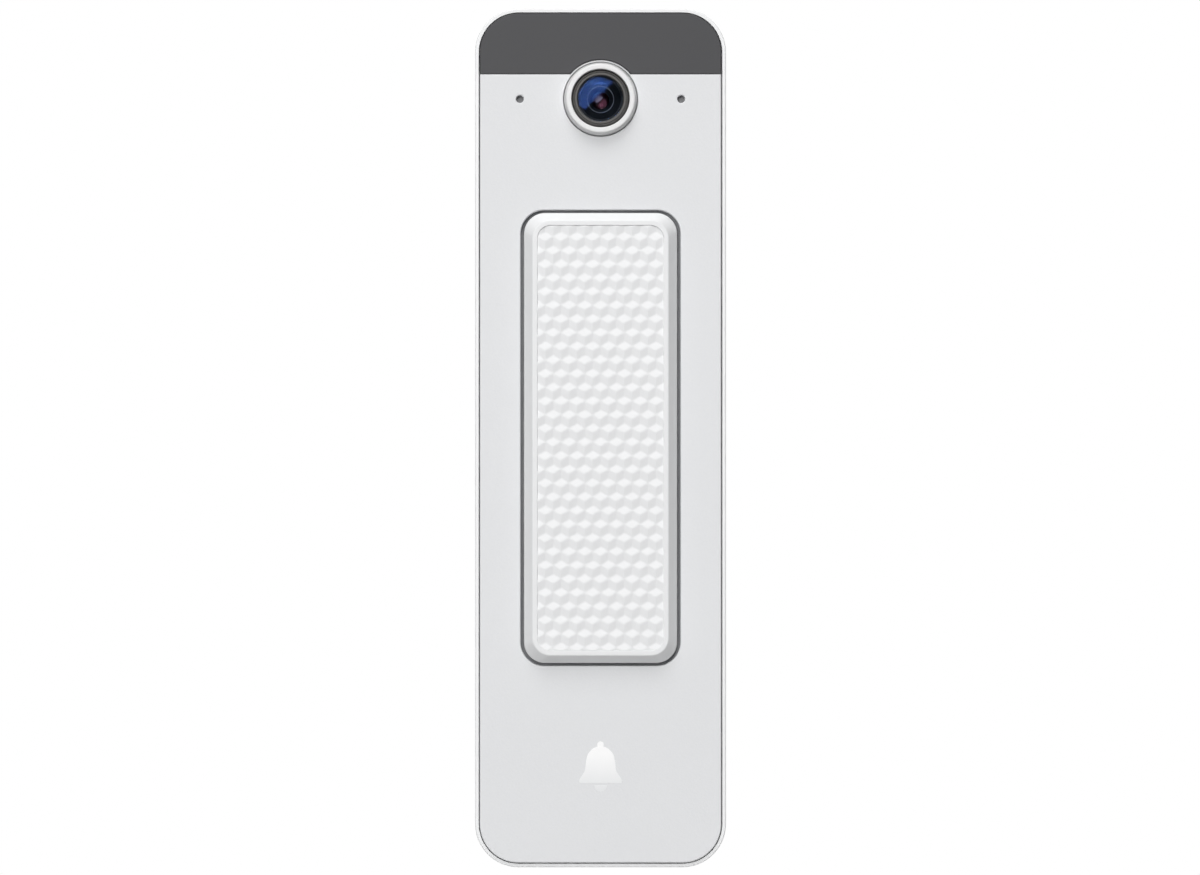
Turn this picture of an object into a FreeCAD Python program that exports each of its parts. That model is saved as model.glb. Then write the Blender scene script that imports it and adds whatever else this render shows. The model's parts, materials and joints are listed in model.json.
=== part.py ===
"""A slim wall-mounted video doorbell, built as an assembly of separate solids.

Frame: +Z is up, +X is to the right of somebody facing the doorbell, and -Y points out of the wall
towards the visitor. The origin is the middle of the wall bracket's back face. Depths are written as
d, the distance in front of the wall, so y = -d. Millimetres throughout.
"""
import FreeCAD
import Part

import math
import os

# ---------------------------------------------------------------- driving dimensions
WIDTH = 38.0          # housing, side to side
HEIGHT = 130.0        # housing, end to end
CORNER_R = 6.6        # housing's rounded corners, seen from the front
RIM = 0.55            # rim of the housing that shows round the front cover
SEAM = 0.2            # gap between that rim and the front cover
WALL = 1.8            # housing side walls

# depths in front of the wall
BRACKET_T = 2.0       # wall bracket plate
HOUSING_REAR = 0.4    # rear edge of the housing's skirt
BACK_OUT = 2.6        # outer face of the housing's back wall
BACK_IN = 4.6         # inner face of the housing's back wall
LEDGE = 20.9          # ledge that the gasket lies on
COVER_BACK = 21.4     # rear face of the front cover
WINDOW_FLOOR = 22.2   # floor of the step under the dark window, and of the light ring's step
RIM_FRONT = 23.2      # front edge of the housing's rim
RIM_ROUND = 0.18      # rounding of that edge
FACE = 23.6           # front face of the front cover

# camera
LENS_Z = 51.28        # height of the lens axis
TRIM_R = 5.52         # outer radius of the lens trim ring
TRIM_FRONT = 25.2     # front of the lens trim ring
BARREL_R = 3.5        # lens barrel in its holder
WINDOW_EDGE_Z = 54.96 # lower edge of the dark window
COLLAR_R = 5.9        # cover's collar round the lens, inside the window's cut-out
FILTER_SHIFT = 5.0    # travel of the infrared filter's carriage
ROTOR_ARM = 5.0       # crank radius of the filter's rotor
ROTOR_Z = LENS_Z + 9.1  # height of the rotor's axis
MIC_X = 12.2          # microphone holes, either side of the lens
MIC_R = 0.57

# button
BUTTON_W, BUTTON_H, BUTTON_R = 23.1, 68.0, 3.15
PLATEAU_W, PLATEAU_H, PLATEAU_R = 20.5, 65.6, 2.7
FIELD_W, FIELD_H, FIELD_R = 19.0, 64.1, 1.95
FLANGE_W, FLANGE_H, FLANGE_R = 25.8, 70.7, 4.5
HOLLOW_W, HOLLOW_H, HOLLOW_R = 20.2, 65.0, 2.0
OPENING_W, OPENING_H, OPENING_R = 24.2, 69.0, 3.6
RING_STEP_W, RING_STEP_H, RING_STEP_R = 26.8, 71.6, 4.9  # step in the cover for the light ring
BEVEL_FOOT = 24.15    # depth at the foot of the button's bevel
PLATEAU = 25.6        # depth of the button's flat top
RELIEF = 0.45         # how far the patterned field lies below the plateau
BUTTON_REAR = 20.0    # rear of the button and of its flange
FLANGE_FRONT = 20.8   # front of the flange, which the seal rests on
CEILING = 23.3        # how far the button is hollow
PUSHER_R, PUSHER_TIP = 2.2, 19.65    # pushers over the switches
GUIDE_R, GUIDE_TIP = 1.2, 17.6       # guide posts in the carrier
RIB_REAR, RIB_T = 21.0, 0.8          # cross ribs
RIB_HEIGHTS = (-27.0, -16.0, 0.0, 16.0, 27.0)
BUTTON_TRAVEL = 0.8
SWITCH_Z = 16.0       # the two switches stand this far above and below the middle

# boards, measured at their rear faces
MAIN_BOARD, MAIN_BOARD_T = 15.0, 1.2
FRONT_BOARD, FRONT_BOARD_T = 18.6, 1.0
SENSOR_BOARD, SENSOR_BOARD_T = 6.4, 1.0

# rear interfaces
HOOK_X = 12.6
HOOK_SLOTS = (44.2, -55.8)   # lower ends of the slots in the back wall
SLOT_LEN = 7.0
LIFT = 4.5                   # travel that frees the hooks
SCREW_SPACING = 83.3         # wall screws, centre to centre
JACK_Z = -20.0
JACK_W = 16.0
RESET_X, RESET_Z = 11.5, -35.5
LOCK_D = 5.2                 # depth of the locking screw's axis

COVER_SCREW_PLACES = ((14.2, 60.0), (14.9, 39.5))
COVER_SCREWS = [(sx * x, sz * z) for x, z in COVER_SCREW_PLACES for sx in (-1, 1) for sz in (-1, 1)]
CARRIER_SCREWS = [(sx * 4.6, sz * 39.6) for sx in (-1, 1) for sz in (-1, 1)]
BOARD_SCREWS = [(sx * 12.6, sz * 25.0) for sx in (-1, 1) for sz in (-1, 1)]
CAMERA_SCREWS = [(-10.9, 46.6), (10.9, 46.6)]
FRONT_BOARD_SCREWS = [(-11.9, 55.6), (11.9, 55.6)]
IR_LEDS = [(-9.6, 60.6), (-5.4, 60.6), (5.4, 60.6), (9.6, 60.6)]
GUIDE_POSTS = [(sx * 8.4, sz * 27.0) for sx in (-1, 1) for sz in (-1, 1)]

PARTS = {}


# ---------------------------------------------------------------- helpers
def at(x, d, z):
    """A point x across, d in front of the wall and z up."""
    return FreeCAD.Vector(x, -d, z)


def outline(w, h, r, d, x=0.0, z=0.0):
    """A closed rounded rectangle of w by h at depth d, as four lines and four arcs."""
    a, b = w / 2.0, h / 2.0
    k = r * (1 - math.sqrt(0.5))
    edges = []
    for sx, sz in ((1, 1), (-1, 1), (-1, -1), (1, -1)):
        side = at(x + sx * a, d, z + sz * (b - r))
        middle = at(x + sx * (a - k), d, z + sz * (b - k))
        end = at(x + sx * (a - r), d, z + sz * b)
        points = (side, middle, end) if sx == sz else (end, middle, side)
        edges.append(Part.Arc(*points).toShape())
    wire = []
    for arc, following in zip(edges, edges[1:] + edges[:1]):
        wire.append(arc)
        start, finish = arc.Vertexes[-1].Point, following.Vertexes[0].Point
        if start.distanceToPoint(finish) > 1e-6:
            wire.append(Part.LineSegment(start, finish).toShape())
    return Part.Wire(wire)


def slab(w, h, r, d0, d1, x=0.0, z=0.0):
    """A rounded rectangular plate from depth d0 to depth d1."""
    return Part.Face(outline(w, h, r, d0, x, z)).extrude(FreeCAD.Vector(0, d0 - d1, 0))


def frame_ring(outer, inner, d0, d1):
    """A rounded rectangular frame; outer and inner are (w, h, r)."""
    return slab(*outer, d0, d1).cut(slab(*inner, d0 - 1, d1 + 1))


def rod(r, d0, d1, x=0.0, z=0.0):
    """A cylinder along the depth axis."""
    return Part.makeCylinder(r, d1 - d0, at(x, d0, z), FreeCAD.Vector(0, -1, 0))


def cone(r0, r1, d0, d1, x=0.0, z=0.0):
    """A cone along the depth axis, of radius r0 at depth d0 and r1 at depth d1."""
    return Part.makeCone(r0, r1, d1 - d0, at(x, d0, z), FreeCAD.Vector(0, -1, 0))


def tube(r_out, r_in, d0, d1, x=0.0, z=0.0):
    """A ring along the depth axis."""
    return rod(r_out, d0, d1, x, z).cut(rod(r_in, d0 - 1, d1 + 1, x, z))


def post(r, z0, z1, x, d):
    """A cylinder along the height axis."""
    return Part.makeCylinder(r, z1 - z0, at(x, d, z0), FreeCAD.Vector(0, 0, 1))


def block(x0, x1, d0, d1, z0, z1):
    """A box between two x, two depths and two heights."""
    return Part.makeBox(x1 - x0, d1 - d0, z1 - z0, at(x0, d1, z0))


def lathe(profile, x=0.0, z=0.0):
    """A solid turned about the depth axis through x, z, from a closed profile of (radius, depth)."""
    points = [at(x + r, d, z) for r, d in profile]
    face = Part.Face(Part.makePolygon(points + points[:1]))
    return face.revolve(at(x, 0, z), FreeCAD.Vector(0, 1, 0), 360)


def dome_arc(r, d_rim, sag, z):
    """Half the section of a spherical face, from axis to rim: its pole stands sag in front of the rim."""
    ball = (r * r + sag * sag) / (2 * sag)
    half = math.asin(r / ball) / 2.0
    pole = d_rim + sag
    middle = at(ball * math.sin(half), pole - ball * (1 - math.cos(half)), z)
    return Part.Arc(at(0, pole, z), middle, at(r, d_rim, z)).toShape()


def lens(r, d_back, d_front, sag_back, sag_front, z=LENS_Z):
    """A lens element of edge radius r: each face's pole stands in front of its rim by its sag."""
    edges = [
        dome_arc(r, d_front, sag_front, z),
        Part.LineSegment(at(r, d_front, z), at(r, d_back, z)).toShape(),
        dome_arc(r, d_back, sag_back, z),
        Part.LineSegment(at(0, d_back + sag_back, z), at(0, d_front + sag_front, z)).toShape(),
    ]
    return Part.Face(Part.Wire(edges)).revolve(at(0, 0, z), FreeCAD.Vector(0, 1, 0), 360)


def ribbon(points, width, thickness, x=0.0):
    """A flat flexible cable across x, following (height, depth) points with rounded bends."""
    pieces = []
    half = thickness / 2.0
    for (z0, d0), (z1, d1) in zip(points, points[1:]):
        length = math.hypot(z1 - z0, d1 - d0)
        nz, nd = -(d1 - d0) / length * half, (z1 - z0) / length * half
        corners = [(z0 + nz, d0 + nd), (z1 + nz, d1 + nd), (z1 - nz, d1 - nd), (z0 - nz, d0 - nd)]
        wire = Part.makePolygon([at(x - width / 2.0, d, z) for z, d in corners + corners[:1]])
        pieces.append(Part.Face(wire).extrude(FreeCAD.Vector(width, 0, 0)))
    for z, d in points[1:-1]:
        pieces.append(Part.makeCylinder(half, width, at(x - width / 2.0, d, z), FreeCAD.Vector(1, 0, 0)))
    return join(pieces)


def join(shapes):
    """All the shapes as one solid."""
    whole = shapes[0].multiFuse(shapes[1:]) if len(shapes) > 1 else shapes[0]
    return whole.removeSplitter()


def drill(shape, cutters):
    """The shape with every cutter taken out of it."""
    return shape.cut(Part.makeCompound(cutters))


def front_edges(shape, depth):
    """The edges that lie wholly at one depth."""
    return [
        e for e in shape.Edges
        if abs(e.BoundBox.YMin + depth) < 1e-4 and abs(e.BoundBox.YMax + depth) < 1e-4
    ]


def keep(name, shape):
    """Stores a node: one solid, or a group of separate ones."""
    PARTS[name] = shape


def group(name, shapes):
    """Stores a node made of several separate solids."""
    keep(name, Part.makeCompound(shapes))


def screw(x, z, d_head, head_r, head_t, shank_r, length):
    """A pan-head screw driven from the wall side, with a cross recess; d_head is under its head."""
    body = rod(head_r, d_head - head_t, d_head, x, z).fuse(rod(shank_r, d_head, d_head + length, x, z))
    rounded = body.makeFillet(head_t * 0.35, front_edges(body, d_head - head_t))
    slot = head_r * 0.16
    arm = head_r * 0.6
    depth = head_t * 0.55
    top = d_head - head_t
    cross = block(x - arm, x + arm, top - 1, top + depth, z - slot, z + slot).fuse(
        block(x - slot, x + slot, top - 1, top + depth, z - arm, z + arm))
    return rounded.cut(cross)


# ---------------------------------------------------------------- wall bracket
def hook(sx, slot_z):
    """One upturned hook of the bracket, standing in its slot in the housing's back wall."""
    x = sx * HOOK_X
    root_z = slot_z + SLOT_LEN - 0.05 - 2.0
    root = block(x - 2.5, x + 2.5, BRACKET_T - 0.5, 6.4, root_z, root_z + 2.0)
    lip = block(x - 2.5, x + 2.5, 5.0, 6.4, root_z, root_z + 5.4)
    top = [e for e in lip.Edges if e.BoundBox.ZMin > root_z + 5.3 and e.Length > 2.0]
    return root.fuse(lip.makeChamfer(0.4, top))


def wall_bracket():
    """The plate that screws to the wall, with four hooks and a foot that takes the locking screw."""
    plate = slab(33.2, 127.0, 6.2, 0.0, BRACKET_T, z=-1.1)
    foot = block(-6.0, 6.0, 0.0, 8.0, -65.0, -63.4)
    foot = foot.makeFillet(1.5, [e for e in foot.Edges if e.BoundBox.YMax < -7.9 and e.Length < 2.0])
    hooks = [hook(sx, z) for sx in (-1, 1) for z in HOOK_SLOTS]
    body = join([plate, foot] + hooks)
    cutters = [slab(24.0, 28.0, 3.0, -1.0, 5.0, z=JACK_Z + 1.0)]
    for sz in (-1, 1):
        z = sz * SCREW_SPACING / 2.0
        cutters.append(rod(2.25, -1.0, 3.0, z=z))
        cutters.append(cone(2.25, 3.9, 0.9, BRACKET_T + 0.1, z=z))
    for z in (18.0, 28.0):
        cutters.append(slab(16.0, 5.0, 2.4, -1.0, 3.0, z=z))
    cutters.append(post(1.45, -66.0, -62.0, 0.0, LOCK_D))
    cutters.append(Part.makeCone(2.45, 1.45, 1.1, at(0, LOCK_D, -65.0), FreeCAD.Vector(0, 0, 1)))
    keep("wall_bracket", drill(body, cutters))


def security_screw():
    """The screw that goes up through the bracket's foot and locks the doorbell down."""
    head = Part.makeCone(2.35, 1.25, 1.1, at(0, LOCK_D, -64.95), FreeCAD.Vector(0, 0, 1))
    body = head.fuse(post(1.25, -63.9, -59.2, 0.0, LOCK_D))
    recess = []
    for k in range(3):
        flat = Part.makeBox(1.9, 0.62, 1.0, FreeCAD.Vector(-0.95, -0.31, -66.0))
        flat.rotate(FreeCAD.Vector(0, 0, 0), FreeCAD.Vector(0, 0, 1), 60 * k)
        flat.translate(FreeCAD.Vector(0, -LOCK_D, 0.75))
        recess.append(flat)
    keep("security_screw", drill(body, recess))


# ---------------------------------------------------------------- housing
def rear_housing():
    """The tub: back wall in a recess for the bracket, side walls, ledge and rim."""
    shell = slab(WIDTH, HEIGHT, CORNER_R, HOUSING_REAR, RIM_FRONT)
    shell = shell.makeFillet(RIM_ROUND, front_edges(shell, RIM_FRONT))
    shell = shell.makeFillet(1.2, front_edges(shell, HOUSING_REAR))
    seat_w = WIDTH - 2 * RIM
    seat = slab(seat_w, HEIGHT - 2 * RIM, CORNER_R - RIM, LEDGE, RIM_FRONT + 1)
    cavity = slab(WIDTH - 2 * WALL, HEIGHT - 2 * WALL, CORNER_R - WALL, BACK_IN, LEDGE + 0.1)
    recess = slab(34.0, 140.0, 4.6, -1.0, BACK_OUT, z=63.0 - 70.0)
    shell = drill(shell, [seat, cavity, recess])
    extra = [rod(2.3, BACK_IN - 0.5, 9.0, x, z) for x, z in COVER_SCREWS]
    for sx in (-1, 1):
        for z in HOOK_SLOTS:
            x = sx * HOOK_X
            extra.append(block(x - 3.7, x + 3.7, BACK_IN - 0.5, 7.9, z - 0.9, z + 11.8))
    extra.append(block(-8.5, 8.5, BACK_OUT, 11.0, -64.0, -61.2))
    extra.append(block(-3.6, 3.6, BACK_OUT, 8.8, -62.0, -57.0))
    extra.append(rod(3.1, BACK_IN - 0.5, 7.4, RESET_X, RESET_Z))
    shell = join([shell] + extra)
    cutters = []
    for x, z in COVER_SCREWS:
        cutters += [rod(1.1, 0.0, 10.0, x, z), rod(2.1, 0.0, 4.4, x, z)]
    for sx in (-1, 1):
        for z in HOOK_SLOTS:
            x = sx * HOOK_X
            cutters.append(block(x - 2.85, x + 2.85, 0.0, BACK_IN + 0.1, z, z + SLOT_LEN))
            cutters.append(block(x - 2.85, x + 2.85, BACK_IN, 6.9, z, z + 10.9))
    cutters.append(block(-6.5, 6.5, -1.0, 8.5, -66.0, -63.0))
    cutters.append(post(2.1, -63.1, -58.4, 0.0, LOCK_D))
    cutters.append(slab(JACK_W + 0.6, JACK_W + 0.6, 0.8, 0.0, BACK_IN + 1, z=JACK_Z))
    cutters += [rod(1.4, 0.0, 8.0, RESET_X, RESET_Z), rod(2.1, BACK_IN, 8.0, RESET_X, RESET_Z)]
    cutters.append(rod(0.8, 0.0, 8.0, -RESET_X, RESET_Z))
    for k in range(-4, 5):
        cutters.append(block(k * 2.4 - 0.6, k * 2.4 + 0.6, 18.2, 20.0, -66.0, -62.0))
    keep("rear_housing", drill(shell, cutters))
    knurl = post(2.1, -63.0, -58.5, 0.0, LOCK_D).cut(post(1.3, -64.0, -58.0, 0.0, LOCK_D))
    waist = post(2.3, -61.1, -60.4, 0.0, LOCK_D).cut(post(1.8, -62.0, -60.0, 0.0, LOCK_D))
    keep("lock_insert", knurl.cut(waist))


def front_cover():
    """The pale face plate, with the window's step, the lens hole and the button's opening."""
    w, h, r = WIDTH - 2 * (RIM + SEAM), HEIGHT - 2 * (RIM + SEAM), CORNER_R - RIM - SEAM
    plate = slab(w, h, r, COVER_BACK, FACE)
    plate = plate.makeFillet(0.2, front_edges(plate, FACE))
    bosses = [rod(2.1, 9.0, COVER_BACK + 0.3, x, z) for x, z in COVER_SCREWS]
    bosses += [rod(1.8, 18.8, COVER_BACK + 0.3, x, z) for x, z in CARRIER_SCREWS]
    bosses += [rod(1.8, 13.6, COVER_BACK + 0.3, x, z) for x, z in CAMERA_SCREWS]
    bosses += [rod(1.7, FRONT_BOARD + FRONT_BOARD_T, COVER_BACK + 0.3, x, z) for x, z in FRONT_BOARD_SCREWS]
    body = join([plate] + bosses)
    step = block(-WIDTH, WIDTH, WINDOW_FLOOR, FACE + 1, WINDOW_EDGE_Z, HEIGHT)
    step = step.cut(rod(COLLAR_R, WINDOW_FLOOR - 1, FACE + 2, z=LENS_Z))
    cutters = [step, rod(TRIM_R + 0.12, 20.0, 25.0, z=LENS_Z)]
    cutters.append(slab(OPENING_W, OPENING_H, OPENING_R, 20.0, 25.0))
    cutters.append(slab(RING_STEP_W, RING_STEP_H, RING_STEP_R, COVER_BACK - 1, WINDOW_FLOOR))
    cutters += [rod(MIC_R, 20.0, 25.0, sx * MIC_X, LENS_Z) for sx in (-1, 1)]
    cutters += [rod(1.7, 21.0, 23.0, x, z) for x, z in IR_LEDS]
    cutters.append(rod(1.0, 21.0, 23.0, 0.0, 60.9))
    cutters += [rod(0.85, 8.0, 19.0, x, z) for x, z in COVER_SCREWS]
    cutters += [rod(0.65, 17.0, 21.6, x, z) for x, z in CARRIER_SCREWS]
    cutters += [rod(0.65, 13.0, 18.0, x, z) for x, z in CAMERA_SCREWS]
    cutters += [rod(0.65, 19.0, 21.8, x, z) for x, z in FRONT_BOARD_SCREWS]
    keep("front_cover", drill(body, cutters))


def cover_trim():
    """The dark window, the perimeter gasket and the cover's screws."""
    w, h, r = WIDTH - 2 * (RIM + SEAM), HEIGHT - 2 * (RIM + SEAM), CORNER_R - RIM - SEAM
    face = slab(w, h, r, WINDOW_FLOOR, FACE)
    face = face.makeFillet(0.2, front_edges(face, FACE))
    below = block(-WIDTH, WIDTH, WINDOW_FLOOR - 1, FACE + 1, -HEIGHT, WINDOW_EDGE_Z + 0.08)
    panel = face.cut(below).cut(rod(COLLAR_R + 0.08, WINDOW_FLOOR - 1, FACE + 1, z=LENS_Z))
    keep("ir_window", panel)
    outer = (WIDTH - 2 * RIM - 0.3, HEIGHT - 2 * RIM - 0.3, CORNER_R - RIM - 0.15)
    inner = (WIDTH - 2 * WALL + 0.3, HEIGHT - 2 * WALL + 0.3, CORNER_R - WALL + 0.15)
    keep("housing_gasket", frame_ring(outer, inner, LEDGE, COVER_BACK))
    group("housing_screws", [screw(x, z, 4.4, 1.9, 1.3, 0.8, 13.4) for x, z in COVER_SCREWS])


# ---------------------------------------------------------------- camera
def lens_parts():
    """Trim ring, seal, barrel and glass elements, all on the lens axis."""
    lip = TRIM_FRONT
    trim = lathe([
        (4.39, 20.4), (6.6, 20.4), (6.6, COVER_BACK), (TRIM_R, COVER_BACK), (TRIM_R, 23.75),
        (5.22, lip - 0.3), (5.14, lip - 0.14), (5.02, lip - 0.04), (4.88, lip),
        (4.52, lip), (4.42, lip - 0.04), (4.39, lip - 0.14),
    ], z=LENS_Z)
    keep("lens_trim", trim)
    keep("lens_seal", tube(4.36, BARREL_R + 0.02, 21.2, 22.7, z=LENS_Z))
    barrel = lathe([
        (1.3, 13.6), (BARREL_R, 13.6), (BARREL_R, 22.8), (4.3, 22.8), (4.3, 24.75), (4.22, 24.88),
        (3.98, 24.88), (3.9, 24.72), (3.82, 24.72), (3.76, 24.9), (3.6, 24.9), (3.44, 24.62),
        (3.44, 23.3), (3.0, 23.3), (1.95, 22.45), (1.95, 22.25), (1.3, 21.5),
    ], z=LENS_Z)
    bored = drill(barrel, [rod(2.5, 14.4, 17.2, z=LENS_Z), rod(2.2, 18.6, 20.4, z=LENS_Z)])
    keep("lens_barrel", bored)
    keep("front_lens", lens(3.42, 23.35, 24.45, 0.4, 0.5))
    group("inner_lenses", [lens(2.18, 18.9, 20.1, 0.3, 0.25), lens(2.48, 14.9, 16.8, -0.3, 0.35)])


def lens_holder():
    """The threaded tube that carries the barrel, on a flange with two ears."""
    z0, z1 = LENS_Z - 6.5, LENS_Z + 11.3
    flange = block(-8.7, 8.7, 12.4, 13.6, z0, z1)
    ears = [block(min(0, x), max(0, x), 12.4, 13.6, z - 1.9, z + 1.9).fuse(rod(1.9, 12.4, 13.6, x, z))
            for x, z in CAMERA_SCREWS]
    body = join([flange, rod(5.2, 13.0, 19.8, z=LENS_Z)] + ears)
    cutters = [rod(BARREL_R + 0.05, 11.0, 21.0, z=LENS_Z)]
    cutters += [rod(0.9, 11.0, 15.0, x, z) for x, z in CAMERA_SCREWS]
    keep("lens_holder", drill(body, cutters))


def filter_switcher():
    """The tray, sliding carriage, rotor and coil that move the infrared filter off the axis."""
    z0, z1 = LENS_Z - 6.5, LENS_Z + 11.3
    tray = block(-8.7, 8.7, 7.4, 12.4, z0, z1)
    cutters = [
        block(-7.95, 7.95, 9.4, 13.0, LENS_Z - 3.3, LENS_Z + 3.3),
        block(-4.8, 4.8, 9.4, 13.0, LENS_Z + 3.0, ROTOR_Z + 2.0),
        block(-8.3, -2.0, 9.4, 13.0, ROTOR_Z - 2.0, ROTOR_Z + 2.0),
        block(-5.3, 5.3, 7.0, 8.7, LENS_Z - 4.4, LENS_Z + 4.4),
        block(-3.0, 3.0, 7.0, 10.0, LENS_Z - 2.3, LENS_Z + 2.3),
    ]
    keep("filter_tray", drill(tray, cutters).fuse(rod(0.5, 9.0, 12.2, z=ROTOR_Z)))
    x0 = FILTER_SHIFT / 2.0
    body = block(x0 - 5.2, x0 + 5.2, 9.5, 10.4, LENS_Z - 3.2, LENS_Z + 3.2)
    body = body.fuse(block(x0 - 1.6, x0 + 1.6, 9.5, 10.4, LENS_Z + 3.0, LENS_Z + 5.9))
    half_pane = 2.1
    low, high = LENS_Z - 2.4, LENS_Z + 2.4
    centres = [x0 - FILTER_SHIFT / 2.0, x0 + FILTER_SHIFT / 2.0]
    panes = [block(x - half_pane, x + half_pane, 9.8, 10.1, low, high) for x in centres]
    windows = [block(x - half_pane, x + half_pane, 9.0, 11.0, low, high) for x in centres]
    slot = block(x0 - 0.58, x0 + 0.58, 9.0, 11.0, LENS_Z + 3.5, LENS_Z + 5.4)
    keep("filter_carriage", drill(body, windows + [slot]))
    group("filter_panes", panes)
    angle = math.asin(x0 / ROTOR_ARM)
    arm = block(-0.7, 0.7, 10.7, 11.4, ROTOR_Z - ROTOR_ARM, ROTOR_Z)
    pin = rod(0.5, 9.6, 11.0, 0.0, ROTOR_Z - ROTOR_ARM)
    end = rod(0.7, 10.7, 11.4, 0.0, ROTOR_Z - ROTOR_ARM)
    magnet = rod(1.7, 9.6, 12.0, 0.0, ROTOR_Z)
    rotor = join([arm, pin, end, magnet]).cut(rod(0.56, 8.0, 13.0, 0.0, ROTOR_Z))
    rotor.rotate(at(0, 0, ROTOR_Z), FreeCAD.Vector(0, 1, 0), -math.degrees(angle))
    keep("filter_rotor", rotor)
    coil = Part.makeCylinder(1.4, 5.4, at(-8.0, 10.9, ROTOR_Z), FreeCAD.Vector(1, 0, 0))
    keep("filter_coil", coil)


def sensor_parts():
    """Image sensor on its small board, and the flexible cables to the main board."""
    board = block(-8.7, 8.7, SENSOR_BOARD, SENSOR_BOARD + SENSOR_BOARD_T, LENS_Z - 8.6, LENS_Z + 11.3)
    keep("sensor_board", board)
    top = SENSOR_BOARD + SENSOR_BOARD_T
    chip = block(-5.0, 5.0, top, top + 1.0, LENS_Z - 4.0, LENS_Z + 4.0)
    keep("image_sensor", chip)
    board_front = MAIN_BOARD + MAIN_BOARD_T
    camera = [(50.0, 6.3), (40.8, 6.3), (38.6, 7.0), (37.4, 9.0), (37.2, 12.2), (36.0, 13.7), (33.6, 14.1)]
    lamps = [(51.0, 17.8), (48.4, 17.8), (45.4, 17.1), (42.6, 16.9), (38.9, 16.9)]
    group("flex_cables", [ribbon(camera, 7.0, 0.2), ribbon(lamps, 1.8, 0.2, x=-8.0)])
    group("flex_connectors", [
        block(-4.2, 4.2, 14.2, MAIN_BOARD, 31.4, 34.4),
        block(-9.6, -6.2, board_front, board_front + 0.6, 38.6, 40.8),
        block(-10.4, -7.1, 17.9, FRONT_BOARD, 49.1, 51.0),
    ])


def front_board_parts():
    """The board behind the top of the cover: infrared lamps, light sensor and microphones."""
    front = FRONT_BOARD + FRONT_BOARD_T
    board = block(-15.4, 15.4, FRONT_BOARD, front, 48.9, 57.2)
    board = board.fuse(block(-11.5, 11.5, FRONT_BOARD, front, 57.0, 62.7))
    cutters = [rod(7.0, 18.0, 20.0, z=LENS_Z), block(-7.0, 7.0, 18.0, 20.0, 48.0, LENS_Z)]
    cutters += [rod(0.8, 18.0, 20.0, x, z) for x, z in FRONT_BOARD_SCREWS]
    keep("front_board", drill(board, cutters))
    lamps = []
    for x, z in IR_LEDS:
        base = block(x - 1.4, x + 1.4, front, front + 1.0, z - 1.4, z + 1.4)
        dome = rod(1.1, front + 1.0, front + 1.3, x, z)
        cap = Part.makeSphere(1.1, at(x, front + 1.3, z)).common(rod(1.2, front + 1.3, front + 3, x, z))
        lamps.append(join([base, dome, cap]))
    group("infrared_lamps", lamps)
    keep("light_sensor", block(-1.0, 1.0, front, front + 0.8, 59.9, 61.9))
    low, high = LENS_Z - 1.1, LENS_Z + 1.1
    places = (-MIC_X, MIC_X)
    group("microphones", [block(x - 1.5, x + 1.5, front, front + 0.9, low, high) for x in places])
    group("microphone_boots", [
        rod(1.7, front + 0.9, COVER_BACK, sx * MIC_X, LENS_Z).cut(
            rod(0.6, front, COVER_BACK - 0.25, sx * MIC_X, LENS_Z)) for sx in (-1, 1)])


# ---------------------------------------------------------------- button
def button_cap():
    """The long button: bevelled top with a sunk patterned field, flange, guide posts and pushers."""
    foot = outline(BUTTON_W, BUTTON_H, BUTTON_R, BEVEL_FOOT)
    crown = outline(PLATEAU_W, PLATEAU_H, PLATEAU_R, PLATEAU)
    bevel = Part.makeLoft([foot, crown], True, True)
    skirt = slab(BUTTON_W, BUTTON_H, BUTTON_R, BUTTON_REAR, BEVEL_FOOT)
    flange = slab(FLANGE_W, FLANGE_H, FLANGE_R, BUTTON_REAR, FLANGE_FRONT)
    body = join([bevel, skirt, flange])
    body = body.cut(slab(HOLLOW_W, HOLLOW_H, HOLLOW_R, BUTTON_REAR - 1, CEILING))
    root = CEILING + 0.2
    inside = [rod(PUSHER_R, PUSHER_TIP, root, 0.0, sz * SWITCH_Z) for sz in (-1, 1)]
    inside += [rod(GUIDE_R, GUIDE_TIP, root, x, z) for x, z in GUIDE_POSTS]
    half_w = HOLLOW_W / 2.0 + 0.3
    half_t = RIB_T / 2.0
    inside += [block(-half_w, half_w, RIB_REAR, root, z - half_t, z + half_t) for z in RIB_HEIGHTS]
    body = join([body] + inside)
    keep("button_cap", body.cut(slab(FIELD_W, FIELD_H, FIELD_R, PLATEAU - RELIEF, PLATEAU + 1)))


def button_surround():
    """The light ring, weather seal and carrier that hold the button behind the cover."""
    keep("light_ring", frame_ring((26.6, 71.2, 4.8), (23.5, 68.3, 3.35), COVER_BACK, WINDOW_FLOOR))
    keep("button_seal", frame_ring((30.2, 74.2, 6.0), (23.7, 68.5, 3.45), 20.8, COVER_BACK))
    plate = slab(30.2, 74.2, 6.0, 17.4, 20.8).cut(slab(26.4, 71.2, 4.9, 18.8, 22.0))
    tabs = [slab(15.0, 10.0, 2.0, 17.4, 18.8, z=sz * 36.8) for sz in (-1, 1)]
    posts = [rod(1.6, MAIN_BOARD + MAIN_BOARD_T, 17.6, x, z) for x, z in BOARD_SCREWS]
    body = join([plate] + tabs + posts)
    cutters = [rod(1.25, 15.0, 20.0, x, z) for x, z in GUIDE_POSTS]
    cutters += [slab(8.0, 8.0, 1.0, 15.0, 20.0, z=sz * SWITCH_Z) for sz in (-1, 1)]
    cutters += [slab(14.0, 14.0, 2.0, 15.0, 20.0)]
    cutters += [rod(0.85, 15.0, 20.0, x, z) for x, z in CARRIER_SCREWS]
    cutters += [rod(0.65, 15.0, 18.6, x, z) for x, z in BOARD_SCREWS]
    cutters += [slab(2.4, 6.0, 0.8, 15.0, 20.0, x, z) for x, z in ring_lamp_places()]
    keep("button_carrier", drill(body, cutters))


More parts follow.
